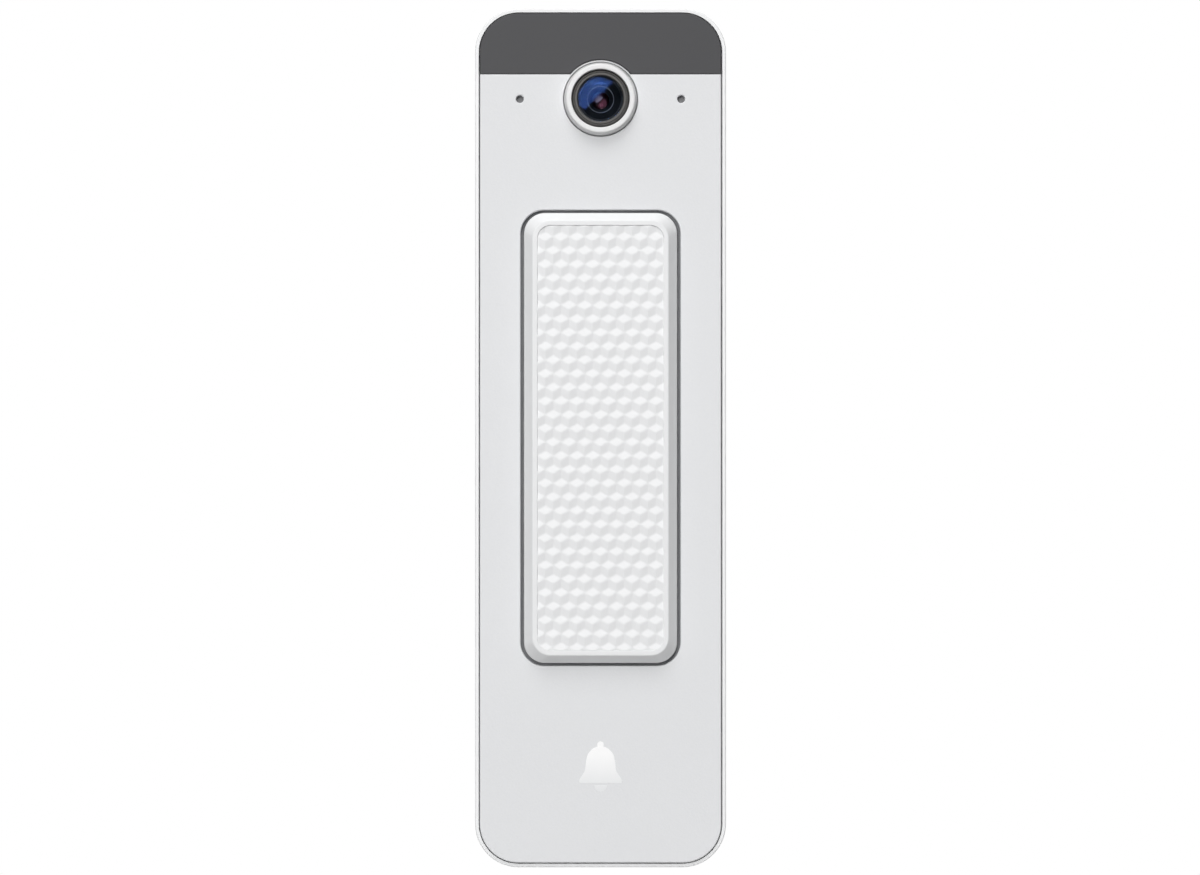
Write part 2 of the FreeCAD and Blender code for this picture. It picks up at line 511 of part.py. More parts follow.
def ring_lamp_places():
    """Where the lamps of the light ring stand, beside the button's skirt."""
    return [(sx * 11.5, z) for sx in (-1, 1) for z in (-16.0, 0.0, 16.0)]


def switches():
    """The two long-travel switches under the button, the reset switch's case and the ring's lamps."""
    base = MAIN_BOARD + MAIN_BOARD_T
    bodies, plungers, domes = [], [], []
    for sz in (-1, 1):
        z = sz * SWITCH_Z
        case = slab(5.2, 5.2, 0.4, base, 18.4, z=z).cut(rod(1.36, base + 0.15, 19.0, z=z))
        bodies.append(case.cut(rod(1.9, base + 0.15, 17.7, z=z)))
        plungers.append(join([rod(1.3, 17.4, 19.6, z=z), rod(1.75, 17.3, 17.6, z=z)]))
        domes.append(cone(1.8, 0.6, base + 0.15, base + 0.27, z=z))
    reset = slab(3.6, 3.6, 0.3, 13.5, MAIN_BOARD, RESET_X, RESET_Z)
    bodies.append(reset.cut(rod(0.76, 13.0, 14.7, RESET_X, RESET_Z)))
    group("switch_cases", bodies)
    keep("upper_switch_plunger", plungers[1])
    keep("lower_switch_plunger", plungers[0])
    group("switch_domes", domes)
    places = ring_lamp_places()
    group("ring_lamps", [block(x - 0.8, x + 0.8, base, base + 0.7, z - 1.5, z + 1.5) for x, z in places])


# ---------------------------------------------------------------- main board
def main_board():
    """The long board with its notches, processor, shield and power parts."""
    base = MAIN_BOARD
    board = slab(31.2, 85.0, 1.5, base, base + MAIN_BOARD_T, z=0.5)
    cutters = [rod(2.5, 14.0, 17.0, x, z) for x, z in COVER_SCREWS]
    for x, z in COVER_SCREWS:
        if abs(z) < 50.0:
            far = math.copysign(20.0, x)
            cutters.append(block(min(x, far), max(x, far), 14.0, 17.0, z - 2.5, z + 2.5))
    cutters += [rod(0.8, 14.0, 17.0, x, z) for x, z in BOARD_SCREWS]
    keep("main_board", drill(board, cutters))
    keep("processor", block(-6.0, 6.0, base - 1.0, base, 16.0, 28.0))
    can = block(-9.0, 9.0, base - 2.3, base, 13.0, 30.2)
    keep("shield_can", can.cut(block(-8.7, 8.7, base - 2.0, base + 1, 13.3, 29.9)))
    core = block(-13.4, -0.8, base - 7.6, base - 0.8, -9.6, 3.0)
    core = core.cut(block(-11.6, -2.6, 0.0, 20.0, -7.8, 1.2))
    keep("transformer_core", core.fuse(block(-8.6, -5.6, base - 5.6, base - 2.8, -7.9, 1.3)))
    coil = slab(8.8, 8.8, 0.6, base - 7.9, base, x=-7.1, z=-3.3)
    keep("transformer_coil", coil.cut(block(-8.65, -5.55, base - 5.65, base - 2.75, -9.0, 2.0)))
    group("capacitors", [
        join([rod(3.1, base - 7.5, base - 0.4, x, z), rod(3.3, base - 0.6, base, x, z)])
        for x, z in ((4.6, -4.0), (11.6, -4.0))])
    chips = [slab(5.0, 5.0, 1.0, base - 2.6, base, x, z) for x, z in ((5.0, 5.6), (11.6, 5.6), (-8.0, 9.0))]
    for x in (-13.6, -11.6, 11.6, 13.6):
        for z in (12.0, 16.0, 20.0, 31.0):
            chips.append(block(x - 0.6, x + 0.6, base - 0.6, base, z - 1.0, z + 1.0))
    group("board_chips", chips)


def network_jack():
    """The jack that opens through the back wall: body, shell, contacts and its foam seal."""
    half = JACK_W / 2.0
    z0, z1 = JACK_Z - half, JACK_Z + half
    body = block(-half + 0.3, half - 0.3, 2.9, MAIN_BOARD, z0 + 0.3, z1 - 0.3)
    plug = block(-5.95, 5.95, 2.0, 13.4, JACK_Z - 4.4, JACK_Z + 3.2)
    latch = block(-3.1, 3.1, 2.0, 9.6, JACK_Z - 6.2, JACK_Z - 4.3)
    low, high = JACK_Z + 3.1, JACK_Z + 4.4
    comb = [block(-4.57 + k * 1.27, -4.32 + k * 1.27, 4.2, 13.4, low, high) for k in range(8)]
    keep("network_jack", drill(body, [plug, latch] + comb))
    shell = block(-half, half, 3.0, MAIN_BOARD, z0, z1)
    keep("jack_shell", shell.cut(block(-half + 0.3, half - 0.3, 0.0, 20.0, z0 + 0.3, z1 - 0.3)))
    wires = []
    for k in range(8):
        x = -4.57 + k * 1.27
        wire = Part.makePolygon([at(x, d, z) for d, z in (
            (13.3, JACK_Z + 4.3), (13.3, JACK_Z + 4.05), (4.6, JACK_Z + 2.1), (4.4, JACK_Z + 2.3),
            (12.2, JACK_Z + 4.3), (13.3, JACK_Z + 4.3))])
        wires.append(Part.Face(wire).extrude(FreeCAD.Vector(0.25, 0, 0)))
    group("jack_contacts", wires)
    seal = slab(20.6, 20.6, 2.4, 2.05, BACK_OUT, z=JACK_Z).cut(slab(16.8, 16.8, 0.8, 0.0, 5.0, z=JACK_Z))
    keep("jack_seal", seal)


def reset_parts():
    """The reset pin in the back wall, its switch's plunger, the vent beside it and a blank label."""
    pin = lathe([(0.0, 3.0), (1.15, 3.0), (1.3, 3.15), (1.3, 4.75), (2.0, 4.75), (2.0, 5.4),
                 (0.8, 5.4), (0.8, 12.9), (0.0, 12.9)], RESET_X, RESET_Z)
    keep("reset_button", pin)
    keep("reset_switch_plunger", rod(0.7, 12.95, 14.2, RESET_X, RESET_Z))
    keep("vent_membrane", rod(2.4, BACK_IN, BACK_IN + 0.25, -RESET_X, RESET_Z))
    keep("blank_label", slab(26.0, 16.0, 1.5, BACK_OUT - 0.1, BACK_OUT, z=14.0))


def inner_screws():
    """The equal small screws that hold the boards, the carrier and the camera to the front cover."""
    places = [(x, z, 12.4) for x, z in CAMERA_SCREWS]
    places += [(x, z, FRONT_BOARD) for x, z in FRONT_BOARD_SCREWS]
    places += [(x, z, 17.4) for x, z in CARRIER_SCREWS]
    places += [(x, z, MAIN_BOARD) for x, z in BOARD_SCREWS]
    group("inner_screws", [screw(x, z, d, 1.4, 0.9, 0.6, 3.0) for x, z, d in places])


# ---------------------------------------------------------------- speaker
def speaker_parts():
    """The flat speaker above the bottom slots: frame, cone, surround, magnet, duct, cloth and leads."""
    z = -52.0
    w, h = 23.6, 17.0
    frame = slab(w, h, 6.0, 13.0, 18.0, z=z)
    frame = frame.cut(slab(w - 2.4, h - 2.4, 4.8, 14.0, 19.0, z=z)).cut(rod(5.2, 12.0, 15.0, z=z))
    keep("speaker_frame", frame)
    magnet = rod(5.1, 12.2, 14.4, z=z)
    keep("speaker_magnet", magnet.fuse(tube(3.4, 2.2, 14.4, 14.9, z=z)))
    bowl = cone(4.3, 6.2, 16.4, 17.4, z=z).cut(cone(4.0, 5.9, 16.6, 17.6, z=z))
    keep("speaker_cone", join([bowl, tube(4.2, 3.7, 14.6, 16.5, z=z)]))
    roll = slab(w - 0.4, h - 0.4, 5.8, 18.0, 18.15, z=z).fuse(slab(w - 2.6, h - 2.6, 4.7, 17.4, 18.05, z=z))
    keep("speaker_surround", roll.cut(rod(6.2, 17.0, 19.0, z=z)))
    chamber = block(-12.0, 12.0, 18.15, COVER_BACK, -62.6, z + h / 2.0)
    chamber = chamber.cut(block(-11.0, 11.0, 17.0, 20.6, -64.0, z + h / 2.0 - 1.0))
    bosses = [rod(2.3, 8.0, 22.0, x, zz) for x, zz in COVER_SCREWS if zz < -50]
    keep("speaker_duct", drill(chamber, bosses))
    keep("speaker_cloth", block(-11.0, 11.0, 18.2, 20.4, -63.2, -63.05))
    leads = []
    route = [(-43.1, 13.9), (-42.4, 13.3), (-41.4, 13.2), (-40.2, 13.6), (-39.5, 14.4)]
    for x in (-1.6, 1.6):
        leads.append(ribbon(route, 0.7, 0.7, x=x))
    group("speaker_leads", leads)


# ---------------------------------------------------------------- build
def main():
    """Builds every part and writes one STEP file per node."""
    for make in (
        wall_bracket, security_screw, rear_housing, front_cover, cover_trim, lens_parts, lens_holder,
        filter_switcher, sensor_parts, front_board_parts, button_cap, button_surround, switches,
        main_board, network_jack, reset_parts, inner_screws, speaker_parts,
    ):
        make()
    os.makedirs("parts", exist_ok=True)
    for name, shape in PARTS.items():
        solids = shape.Solids
        node = solids[0] if len(solids) == 1 else Part.makeCompound(solids)
        bad = [s for s in solids if not s.isValid() or s.Volume <= 0]
        note = " INVALID" if bad or not solids else ""
        node.exportStep(f"parts/{name}.step")
        print(f"{name:24s} solids {len(solids):2d}  volume {node.Volume:10.2f}{note}")
    print(len(PARTS), "nodes")


main()
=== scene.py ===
# %% [markdown]
# # A slim video doorbell
#
# This doorbell hangs beside a front door. A pale plastic case holds a camera under a smoked window,
# a long button with a pattern of cubes, and a bracket behind it that screws to the wall. The case,
# the joints and the sizes come from a imported CAD model, which stays as it is. This script gives that
# model its looks: finer surfaces for what a visitor sees and touches, and a finish for every part.
#

import json
import math

import bmesh
import bpy
import numpy as np
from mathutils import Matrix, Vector
from mathutils.geometry import tessellate_polygon

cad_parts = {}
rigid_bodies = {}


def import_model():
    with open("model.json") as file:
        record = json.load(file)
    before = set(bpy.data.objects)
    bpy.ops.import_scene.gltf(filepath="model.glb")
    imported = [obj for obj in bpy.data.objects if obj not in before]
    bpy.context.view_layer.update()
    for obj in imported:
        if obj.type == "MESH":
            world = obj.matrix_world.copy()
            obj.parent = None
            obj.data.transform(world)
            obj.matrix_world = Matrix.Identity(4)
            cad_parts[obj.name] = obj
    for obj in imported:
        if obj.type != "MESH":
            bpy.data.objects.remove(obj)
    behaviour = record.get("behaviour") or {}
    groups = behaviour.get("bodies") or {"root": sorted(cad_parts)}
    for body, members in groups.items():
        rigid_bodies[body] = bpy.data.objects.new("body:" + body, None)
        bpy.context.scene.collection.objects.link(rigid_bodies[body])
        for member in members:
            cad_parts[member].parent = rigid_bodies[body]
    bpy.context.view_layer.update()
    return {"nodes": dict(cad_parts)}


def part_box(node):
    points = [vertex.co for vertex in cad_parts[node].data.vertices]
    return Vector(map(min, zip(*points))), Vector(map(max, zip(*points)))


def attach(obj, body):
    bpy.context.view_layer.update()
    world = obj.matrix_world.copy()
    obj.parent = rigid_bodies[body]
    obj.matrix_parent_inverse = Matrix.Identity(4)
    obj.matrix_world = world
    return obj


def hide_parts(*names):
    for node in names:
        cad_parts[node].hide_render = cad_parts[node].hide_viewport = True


for leftover in list(bpy.data.objects):
    bpy.data.objects.remove(leftover)
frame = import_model()

# %% [markdown]
# ## Reading sizes from the frame
#
# Lengths below are in millimetres, and a place is (x, depth, z), where depth is how far a point
# stands in front of the wall. That suits a thing that is built up in layers from a wall outwards.
# Sizes are read from the boxes of the CAD parts, so the looks follow the design if it changes.

# %% Spans of CAD parts
MM = 0.001


def span(node, axis):
    """Lowest and highest value of a CAD node along "x", "z" or the depth "d"."""
    low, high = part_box(node)
    pair = {"x": (low.x, high.x), "z": (low.z, high.z), "d": (-high.y, -low.y)}[axis]
    return pair[0] / MM, pair[1] / MM


def middle(node, axis):
    """Halfway along a CAD node."""
    return sum(span(node, axis)) / 2


def width(node, axis):
    """Full size of a CAD node along an axis."""
    low, high = span(node, axis)
    return high - low


FACE = span("ir_window", "d")[1]            # front face of the cover and the window
COVER_BACK = span("housing_gasket", "d")[1]
STEP = span("light_ring", "d")[1]           # floor of the steps inside the cover
COVER_W = width("ir_window", "x")
COVER_H = width("front_cover", "z")
COVER_R = 5.85                              # corner radius of the cover
COVER_EASE = 0.06                           # the cover is drawn this much larger: a finer seam
LENS_Z = middle("lens_trim", "z")
MIC_X = span("microphones", "x")[1] - 1.5   # each microphone is 3 mm wide
WINDOW_EDGE = span("ir_window", "z")[0]
print(f"cover {COVER_W:.1f} x {COVER_H:.1f} mm, lens axis {LENS_Z:.1f} mm above the middle")

# %% [markdown]
# ## Surfaces from arrays
#
# Almost everything here was moulded or turned, so two kinds of surface make it all. One carries a
# profile round an outline, as a wall does round a plate. The other turns a profile about an axis.
# Both are grids of points worked out with numpy, and the same faces join any grid. Blender's own
# primitives could be scaled and cut instead, but their edges would be knife sharp. A moulded edge
# always has a small radius, and that radius is what catches the light.

# %% Grids and their faces
def grid_faces(rows, columns, ring_rows=False):
    """Four-cornered faces of a grid whose columns close into a ring; its rows may close as well."""
    r = np.arange(rows if ring_rows else rows - 1)[:, None]
    c = np.arange(columns)[None, :]
    r2, c2 = (r + 1) % rows, (c + 1) % columns
    corners = [r * columns + c, r * columns + c2, r2 * columns + c2, r2 * columns + c]
    return np.stack([np.broadcast_to(k, (len(r), columns)) for k in corners], -1).reshape(-1, 4)


def fan_faces(ring, pole):
    """Three-cornered faces from a ring of point numbers to one pole."""
    return np.stack([ring, np.roll(ring, -1), np.full_like(ring, pole)], -1)


def weld(parts):
    """Joins (points, faces) parts: points in the same place become one, and collapsed faces go."""
    points = np.vstack([p for p, _ in parts])
    _, first, number = np.unique(np.round(points, 4), axis=0, return_index=True, return_inverse=True)
    number = number.reshape(-1)
    faces, start = [], 0
    for p, face_sets in parts:
        for f in face_sets:
            f = number[np.asarray(f) + start]
            open_faces = np.ones(len(f), bool)
            for a in range(f.shape[1]):
                open_faces &= f[:, a] != f[:, (a + 1) % f.shape[1]]
            faces.append(f[open_faces])
        start += len(p)
    return points[first], faces


# %% Outlines
def rounded_rectangle(w, h, r, x=0.0, z=0.0, steps=14, margin=0.35):
    """Anticlockwise (x, z) outline: at each corner a quarter circle, with a point just before and
    just after it, so that the shading of the long straight sides stays flat."""
    turn = np.linspace(0, math.pi / 2, steps + 1)
    arc = np.stack([np.cos(turn), np.sin(turn)], -1) * r
    arc = np.vstack([arc[0] + (0, -margin), arc, arc[-1] + (-margin, 0)])
    corners = []
    for k, (sx, sz) in enumerate(((1, 1), (-1, 1), (-1, -1), (1, -1))):
        c, s = round(math.cos(k * math.pi / 2)), round(math.sin(k * math.pi / 2))
        turned = arc @ np.array([[c, s], [-s, c]])
        corners.append(turned + (x + sx * (w / 2 - r), z + sz * (h / 2 - r)))
    return np.vstack(corners)


def circle(r, x=0.0, z=0.0, steps=64):
    """Anticlockwise (x, z) circle."""
    turn = np.arange(steps) / steps * 2 * math.pi
    return np.stack([x + r * np.cos(turn), z + r * np.sin(turn)], -1)


def arc_points(r, x, z, start, end, steps=24):
    """Points (x, z) on part of a circle, with its angles in degrees."""
    turn = np.radians(np.linspace(start, end, steps + 1))
    return np.stack([x + r * np.cos(turn), z + r * np.sin(turn)], -1)


def inset(outline, amount):
    """The outline moved to its left by an amount: each point goes along the bisector of its two
    edges, by the amount over the cosine of half the turn."""
    before = outline - np.roll(outline, 1, 0)
    after = np.roll(outline, -1, 0) - outline
    bisector = 0
    for edge in (before, after):
        length = np.linalg.norm(edge, axis=1)[:, None]
        bisector = bisector + np.stack([-edge[:, 1], edge[:, 0]], -1) / length
    return outline + 2 * amount * bisector / (bisector ** 2).sum(1)[:, None]


def filleted(points, radius, closed=True, steps=6, margin=0.06):
    """A polygon with its corners rounded: each becomes an arc that is tangent to both sides, with a
    point just before and after it. radius is one number, or one for each corner."""
    points = np.asarray(points, float)
    radii = np.broadcast_to(radius, len(points))
    out = []
    for k, (p, r) in enumerate(zip(points, radii)):
        if r <= 0 or (not closed and k in (0, len(points) - 1)):
            out.append(p[None])
            continue
        a, b = points[k - 1] - p, points[(k + 1) % len(points)] - p
        la, lb = np.linalg.norm(a), np.linalg.norm(b)
        a, b = a / la, b / lb
        half = math.acos(np.clip(a @ b, -1, 1)) / 2
        tangent = min(r / math.tan(half), 0.46 * min(la, lb))
        r = tangent * math.tan(half)
        centre = p + (a + b) / np.linalg.norm(a + b) * r / math.sin(half)
        u, v = p + a * tangent - centre, p + b * tangent - centre
        swing = math.atan2(u[0] * v[1] - u[1] * v[0], u @ v)
        t = np.linspace(0, swing, steps + 1)
        c, s = np.cos(t), np.sin(t)
        arc = centre + np.stack([u[0] * c - u[1] * s, u[0] * s + u[1] * c], -1)
        pad = min(margin, 0.4 * (0.5 * min(la, lb) - tangent) + 1e-3)
        out += [p[None] + a * (tangent + pad), arc, p[None] + b * (tangent + pad)]
    return np.vstack(out)


# %% Turned and swept solids
def turned(profile, x=0.0, z=0.0, steps=96):
    """A solid of revolution: profile holds (radius, depth) points. It closes on itself, unless its
    first and last points lie on the axis, where they become poles."""
    profile = np.asarray(profile, float)
    angle = np.arange(steps) / steps * 2 * math.pi
    on_axis = profile[0, 0] < 1e-9 and profile[-1, 0] < 1e-9
    rings = profile[1:-1] if on_axis else profile
    r, d = rings[:, :1], rings[:, 1:]
    depth = np.broadcast_to(d, (len(rings), steps))
    points = np.stack([x + r * np.cos(angle), depth, z + r * np.sin(angle)], -1).reshape(-1, 3)
    faces = [grid_faces(len(rings), steps, ring_rows=not on_axis)]
    if on_axis:
        first, last = len(points), len(points) + 1
        poles = [[x, profile[0, 1], z], [x, profile[-1, 1], z]]
        faces.append(fan_faces(np.arange(steps), first))
        faces.append(fan_faces(np.arange(steps) + (len(rings) - 1) * steps, last))
        points = np.vstack([points, poles])
    return points, faces


def layer(outline, depth):
    """An (x, z) outline as (x, depth, z) points."""
    return np.insert(outline, 1, depth, axis=1)


def wall(rings):
    """A strip of faces through rings of equal length: the profile is carried round the outline."""
    return np.vstack(rings), [grid_faces(len(rings), len(rings[0]))]


def cap(loops, depth):
    """A flat face at one depth between an outline and the holes in it."""
    flat = [[Vector((x, z, 0)) for x, z in loop] for loop in loops]
    return layer(np.vstack(loops), depth), [np.array(tessellate_polygon(flat))]


def rounded_edges(back, front, back_round, front_round, steps=5, margin=0.02):
    """The profile of a plate's wall from back to front, as (inset, depth) points: a quarter circle
    at each edge, with a point just past each end of it."""
    turn = np.linspace(0, math.pi / 2, steps + 1)
    lower = np.stack([back_round * (1 - np.sin(turn)), back + back_round * (1 - np.cos(turn))], -1)
    upper = np.stack([front_round * (1 - np.cos(turn)), front - front_round * (1 - np.sin(turn))], -1)
    return np.vstack([
        (back_round + margin, back), lower, (0, back + back_round + margin),
        (0, front - front_round - margin), upper, (front_round + margin, front),
    ])


def plate(outlines, back, front, back_round=0.05, front_round=0.1):
    """A moulded plate. outlines starts with the outer outline, anticlockwise, and goes on with the
    holes, clockwise, so that the plastic always lies to the left and every edge is rounded alike."""
    profile = rounded_edges(back, front, back_round, front_round)
    rings = [[inset(o, amount) for amount, _ in profile] for o in outlines]
    parts = [wall([layer(ring, depth) for ring, (_, depth) in zip(hoop, profile)]) for hoop in rings]
    parts.append(cap([hoop[0] for hoop in rings], back))
    parts.append(cap([hoop[-1] for hoop in rings], front))
    return parts


# %% From arrays to an object
def make_piece(name, parts, body, slot, stands_for=(), finish=None, crease=38):
    """Makes one object of all the parts, facing outwards, smooth except where faces meet at more
    than crease degrees. It rides on a body, and may stand for CAD nodes. It gets its slot's finish
    unless it has one of its own."""
    points, faces = weld(parts)
    points = np.stack([points[:, 0], -points[:, 1], points[:, 2]], -1) * MM
    counts = np.concatenate([np.full(len(f), f.shape[1]) for f in faces])
    corners = np.concatenate([f.reshape(-1) for f in faces])
    mesh = bpy.data.meshes.new(name)
    mesh.vertices.add(len(points))
    mesh.vertices.foreach_set("co", points.astype(np.float32).ravel())
    mesh.loops.add(len(corners))
    mesh.loops.foreach_set("vertex_index", corners.astype(np.int32))
    mesh.polygons.add(len(counts))
    mesh.polygons.foreach_set("loop_start", (np.cumsum(counts) - counts).astype(np.int32))
    mesh.update(calc_edges=True)
    mesh.validate()
    face_outwards(mesh)
    mesh.polygons.foreach_set("use_smooth", np.ones(len(mesh.polygons), bool))
    mesh.set_sharp_from_angle(angle=math.radians(crease))
    obj = bpy.data.objects.new(name, mesh)
    bpy.context.scene.collection.objects.link(obj)
    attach(obj, body)
    if stands_for:
        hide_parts(*stands_for)
    mesh.materials.append(finish or FINISH[slot])
    print(f"{name}: {len(mesh.polygons)} faces, {'closed' if is_closed(mesh) else 'OPEN'}")
    return obj


def face_outwards(mesh):
    """Turns every face of each closed shell to face outwards."""
    work = bmesh.new()
    work.from_mesh(mesh)
    bmesh.ops.recalc_face_normals(work, faces=work.faces)
    work.to_mesh(mesh)
    work.free()


def is_closed(mesh):
    """True where every edge has exactly two faces."""
    corners = np.zeros(len(mesh.loops), np.int32)
    mesh.loops.foreach_get("edge_index", corners)
    return bool((np.bincount(corners, minlength=len(mesh.edges)) == 2).all())


# %% [markdown]
# ## The camera
#
# Small things are best shown from some way off with a long lens, so that the sides
# stay hidden and parallel edges stay parallel. The lens here is 109 mm, at 550 mm from the face.
# It looks straight at the middle of the doorbell. The rest of the studio comes near the end.

# %% Camera
CAMERA_DISTANCE = 549.7
FOCAL_LENGTH = 109.0
SENSOR_WIDTH = 36.0
camera_data = bpy.data.cameras.new("camera")
camera_data.lens = FOCAL_LENGTH
camera_data.sensor_width = SENSOR_WIDTH
camera_data.clip_start = 0.01
camera = bpy.data.objects.new("camera", camera_data)
camera.location = Vector((-0.08, -(FACE + CAMERA_DISTANCE), 0.08)) * MM
camera.rotation_euler = (math.pi / 2, 0, 0)
bpy.context.scene.collection.objects.link(camera)
bpy.context.scene.camera = camera
print("frame is", round(SENSOR_WIDTH / FOCAL_LENGTH * CAMERA_DISTANCE, 1), "mm wide at the face")

# %% [markdown]
# ## Shader groups
#
# Several finishes share an effect, so each effect is a node group with its own inputs, built once.
# `fine_grain` is the spark-eroded texture of moulded plastic: a very fine noise that tilts the
# surface. `tone_drift` shifts a colour a little over a few centimetres, as every real batch does.
# `worn_edges` finds outer edges, where paint rubs thin, and `brushed` draws the fine scratches of
# metal. Each one takes coordinates and puts out only values, colours or normals, and the shader
# itself stays in the material.

# %% Building a group
def new_group(name, inputs, outputs):
    """An empty shader node group; inputs and outputs are (name, socket type, default) rows."""
    tree = bpy.data.node_groups.new(name, "ShaderNodeTree")
    for direction, rows in (("INPUT", inputs), ("OUTPUT", outputs)):
        for label, kind, default in rows:
            socket = tree.interface.new_socket(label, in_out=direction, socket_type=f"NodeSocket{kind}")
            if default is not None:
                socket.default_value = default
    return tree, tree.nodes.new("NodeGroupInput"), tree.nodes.new("NodeGroupOutput")


def add(tree, kind, **settings):
    """Adds a shader node and sets its properties, or its inputs where the name is one of theirs."""
    node = tree.nodes.new("ShaderNode" + kind)
    for label, value in settings.items():
        key = label.replace("_", " ").title()
        if hasattr(node, label):
            setattr(node, label, value)
        else:
            node.inputs[key].default_value = value
    return node


def join(tree, *pairs):
    """Links sockets: each pair is an output and an input."""
    for source, target in pairs:
        tree.links.new(source, target)


# %% The shared effects
def fine_grain_group():
    """Moulded texture: noise of a given size in millimetres, as a value and as a tilted normal."""
    tree, given, result = new_group(
        "fine_grain",
        [("Vector", "Vector", None), ("Size", "Float", 0.2), ("Depth", "Float", 0.01)],
        [("Grain", "Float", None), ("Normal", "Vector", None)])
    per_metre = add(tree, "Math", operation="DIVIDE")
    per_metre.inputs[0].default_value = 1 / MM
    noise = add(tree, "TexNoise", detail=3.0, roughness=0.6)
    metres = add(tree, "Math", operation="MULTIPLY")
    metres.inputs[1].default_value = MM
    bump = add(tree, "Bump")
    join(tree,
         (given.outputs["Size"], per_metre.inputs[1]),
         (given.outputs["Vector"], noise.inputs["Vector"]),
         (per_metre.outputs[0], noise.inputs["Scale"]),
         (given.outputs["Depth"], metres.inputs[0]),
         (metres.outputs[0], bump.inputs["Distance"]),
         (noise.outputs["Fac"], bump.inputs["Height"]),
         (noise.outputs["Fac"], result.inputs["Grain"]),
         (bump.outputs["Normal"], result.inputs["Normal"]))
    return tree


def tone_drift_group():
    """A colour that is a little darker here and lighter there, by Amount, plus a fine fleck."""
    tree, given, result = new_group(
        "tone_drift",
        [("Vector", "Vector", None), ("Colour", "Color", (0.5, 0.5, 0.5, 1)), ("Amount", "Float", 0.03),
         ("Grain", "Float", 0.5), ("Fleck", "Float", 0.02)],
        [("Colour", "Color", None)])
    drift = add(tree, "TexNoise", scale=55.0, detail=2.0)
    terms = []
    for source, amount in ((drift.outputs["Fac"], "Amount"), (given.outputs["Grain"], "Fleck")):
        centred = add(tree, "Math", operation="SUBTRACT")
        centred.inputs[1].default_value = 0.5
        scaled = add(tree, "Math", operation="MULTIPLY")
        join(tree,
             (source, centred.inputs[0]), (centred.outputs[0], scaled.inputs[0]),
             (given.outputs[amount], scaled.inputs[1]))
        terms.append(scaled)
    total = add(tree, "Math", operation="ADD")
    value = add(tree, "Math", operation="ADD")
    value.inputs[1].default_value = 1.0
    tint = add(tree, "HueSaturation")
    join(tree,
         (given.outputs["Vector"], drift.inputs["Vector"]),
         (terms[0].outputs[0], total.inputs[0]), (terms[1].outputs[0], total.inputs[1]),
         (total.outputs[0], value.inputs[0]),
         (value.outputs[0], tint.inputs["Value"]),
         (given.outputs["Colour"], tint.inputs["Color"]),
         (tint.outputs["Color"], result.inputs["Colour"]))
    return tree


def worn_edges_group():
    """A mask that is 1 on outer edges, where the rounded normal leaves the true one. The ramp reads
    their cosine plus 0.3 of a noise, which breaks the edge of the mask up."""
    tree, given, result = new_group(
        "worn_edges",
        [("Vector", "Vector", None), ("Reach", "Float", 0.3), ("Breakup", "Float", 900.0)],
        [("Mask", "Float", None)])
    reach = add(tree, "Math", operation="MULTIPLY")
    reach.inputs[1].default_value = MM
    bevel = add(tree, "Bevel", samples=4)
    here = add(tree, "NewGeometry")
    facing = add(tree, "VectorMath", operation="DOT_PRODUCT")
    noise = add(tree, "TexNoise", detail=4.0)
    sum_up = add(tree, "Math", operation="MULTIPLY_ADD")
    sum_up.inputs[1].default_value = 0.3
    ramp = add(tree, "MapRange", from_min=1.08, from_max=0.98)
    join(tree,
         (given.outputs["Reach"], reach.inputs[0]), (reach.outputs[0], bevel.inputs["Radius"]),
         (bevel.outputs["Normal"], facing.inputs[0]), (here.outputs["Normal"], facing.inputs[1]),
         (given.outputs["Vector"], noise.inputs["Vector"]),
         (given.outputs["Breakup"], noise.inputs["Scale"]),
         (noise.outputs["Fac"], sum_up.inputs[0]), (facing.outputs["Value"], sum_up.inputs[2]),
         (sum_up.outputs[0], ramp.inputs["Value"]), (ramp.outputs["Result"], result.inputs["Mask"]))
    return tree


def brushed_group():
    """Fine scratches along one direction: noise stretched by Scale, as a value and as a normal."""
    tree, given, result = new_group(
        "brushed",
        [("Vector", "Vector", None), ("Scale", "Vector", (300.0, 300.0, 9000.0)),
         ("Depth", "Float", 0.002)],
        [("Streak", "Float", None), ("Normal", "Vector", None)])
    stretch = add(tree, "VectorMath", operation="MULTIPLY")
    noise = add(tree, "TexNoise", scale=1.0, detail=3.0)
    metres = add(tree, "Math", operation="MULTIPLY")
    metres.inputs[1].default_value = MM
    bump = add(tree, "Bump")
    join(tree,
         (given.outputs["Vector"], stretch.inputs[0]), (given.outputs["Scale"], stretch.inputs[1]),
         (stretch.outputs["Vector"], noise.inputs["Vector"]),
         (given.outputs["Depth"], metres.inputs[0]), (metres.outputs[0], bump.inputs["Distance"]),
         (noise.outputs["Fac"], bump.inputs["Height"]),
         (noise.outputs["Fac"], result.inputs["Streak"]), (bump.outputs["Normal"], result.inputs["Normal"]))
    return tree


GROUPS = {g.name: g for g in (fine_grain_group(), tone_drift_group(), worn_edges_group(), brushed_group())}
print("groups:", ", ".join(GROUPS))

# %% [markdown]
# ## Finishes
#
# A material starts as a Principled shader with its constants set straight on its sockets. Effects
# are then plugged in with values that suit the finish. Pale plastic needs very little: a grain of a
# third of a millimetre or finer, and a colour that drifts by one or two percent.

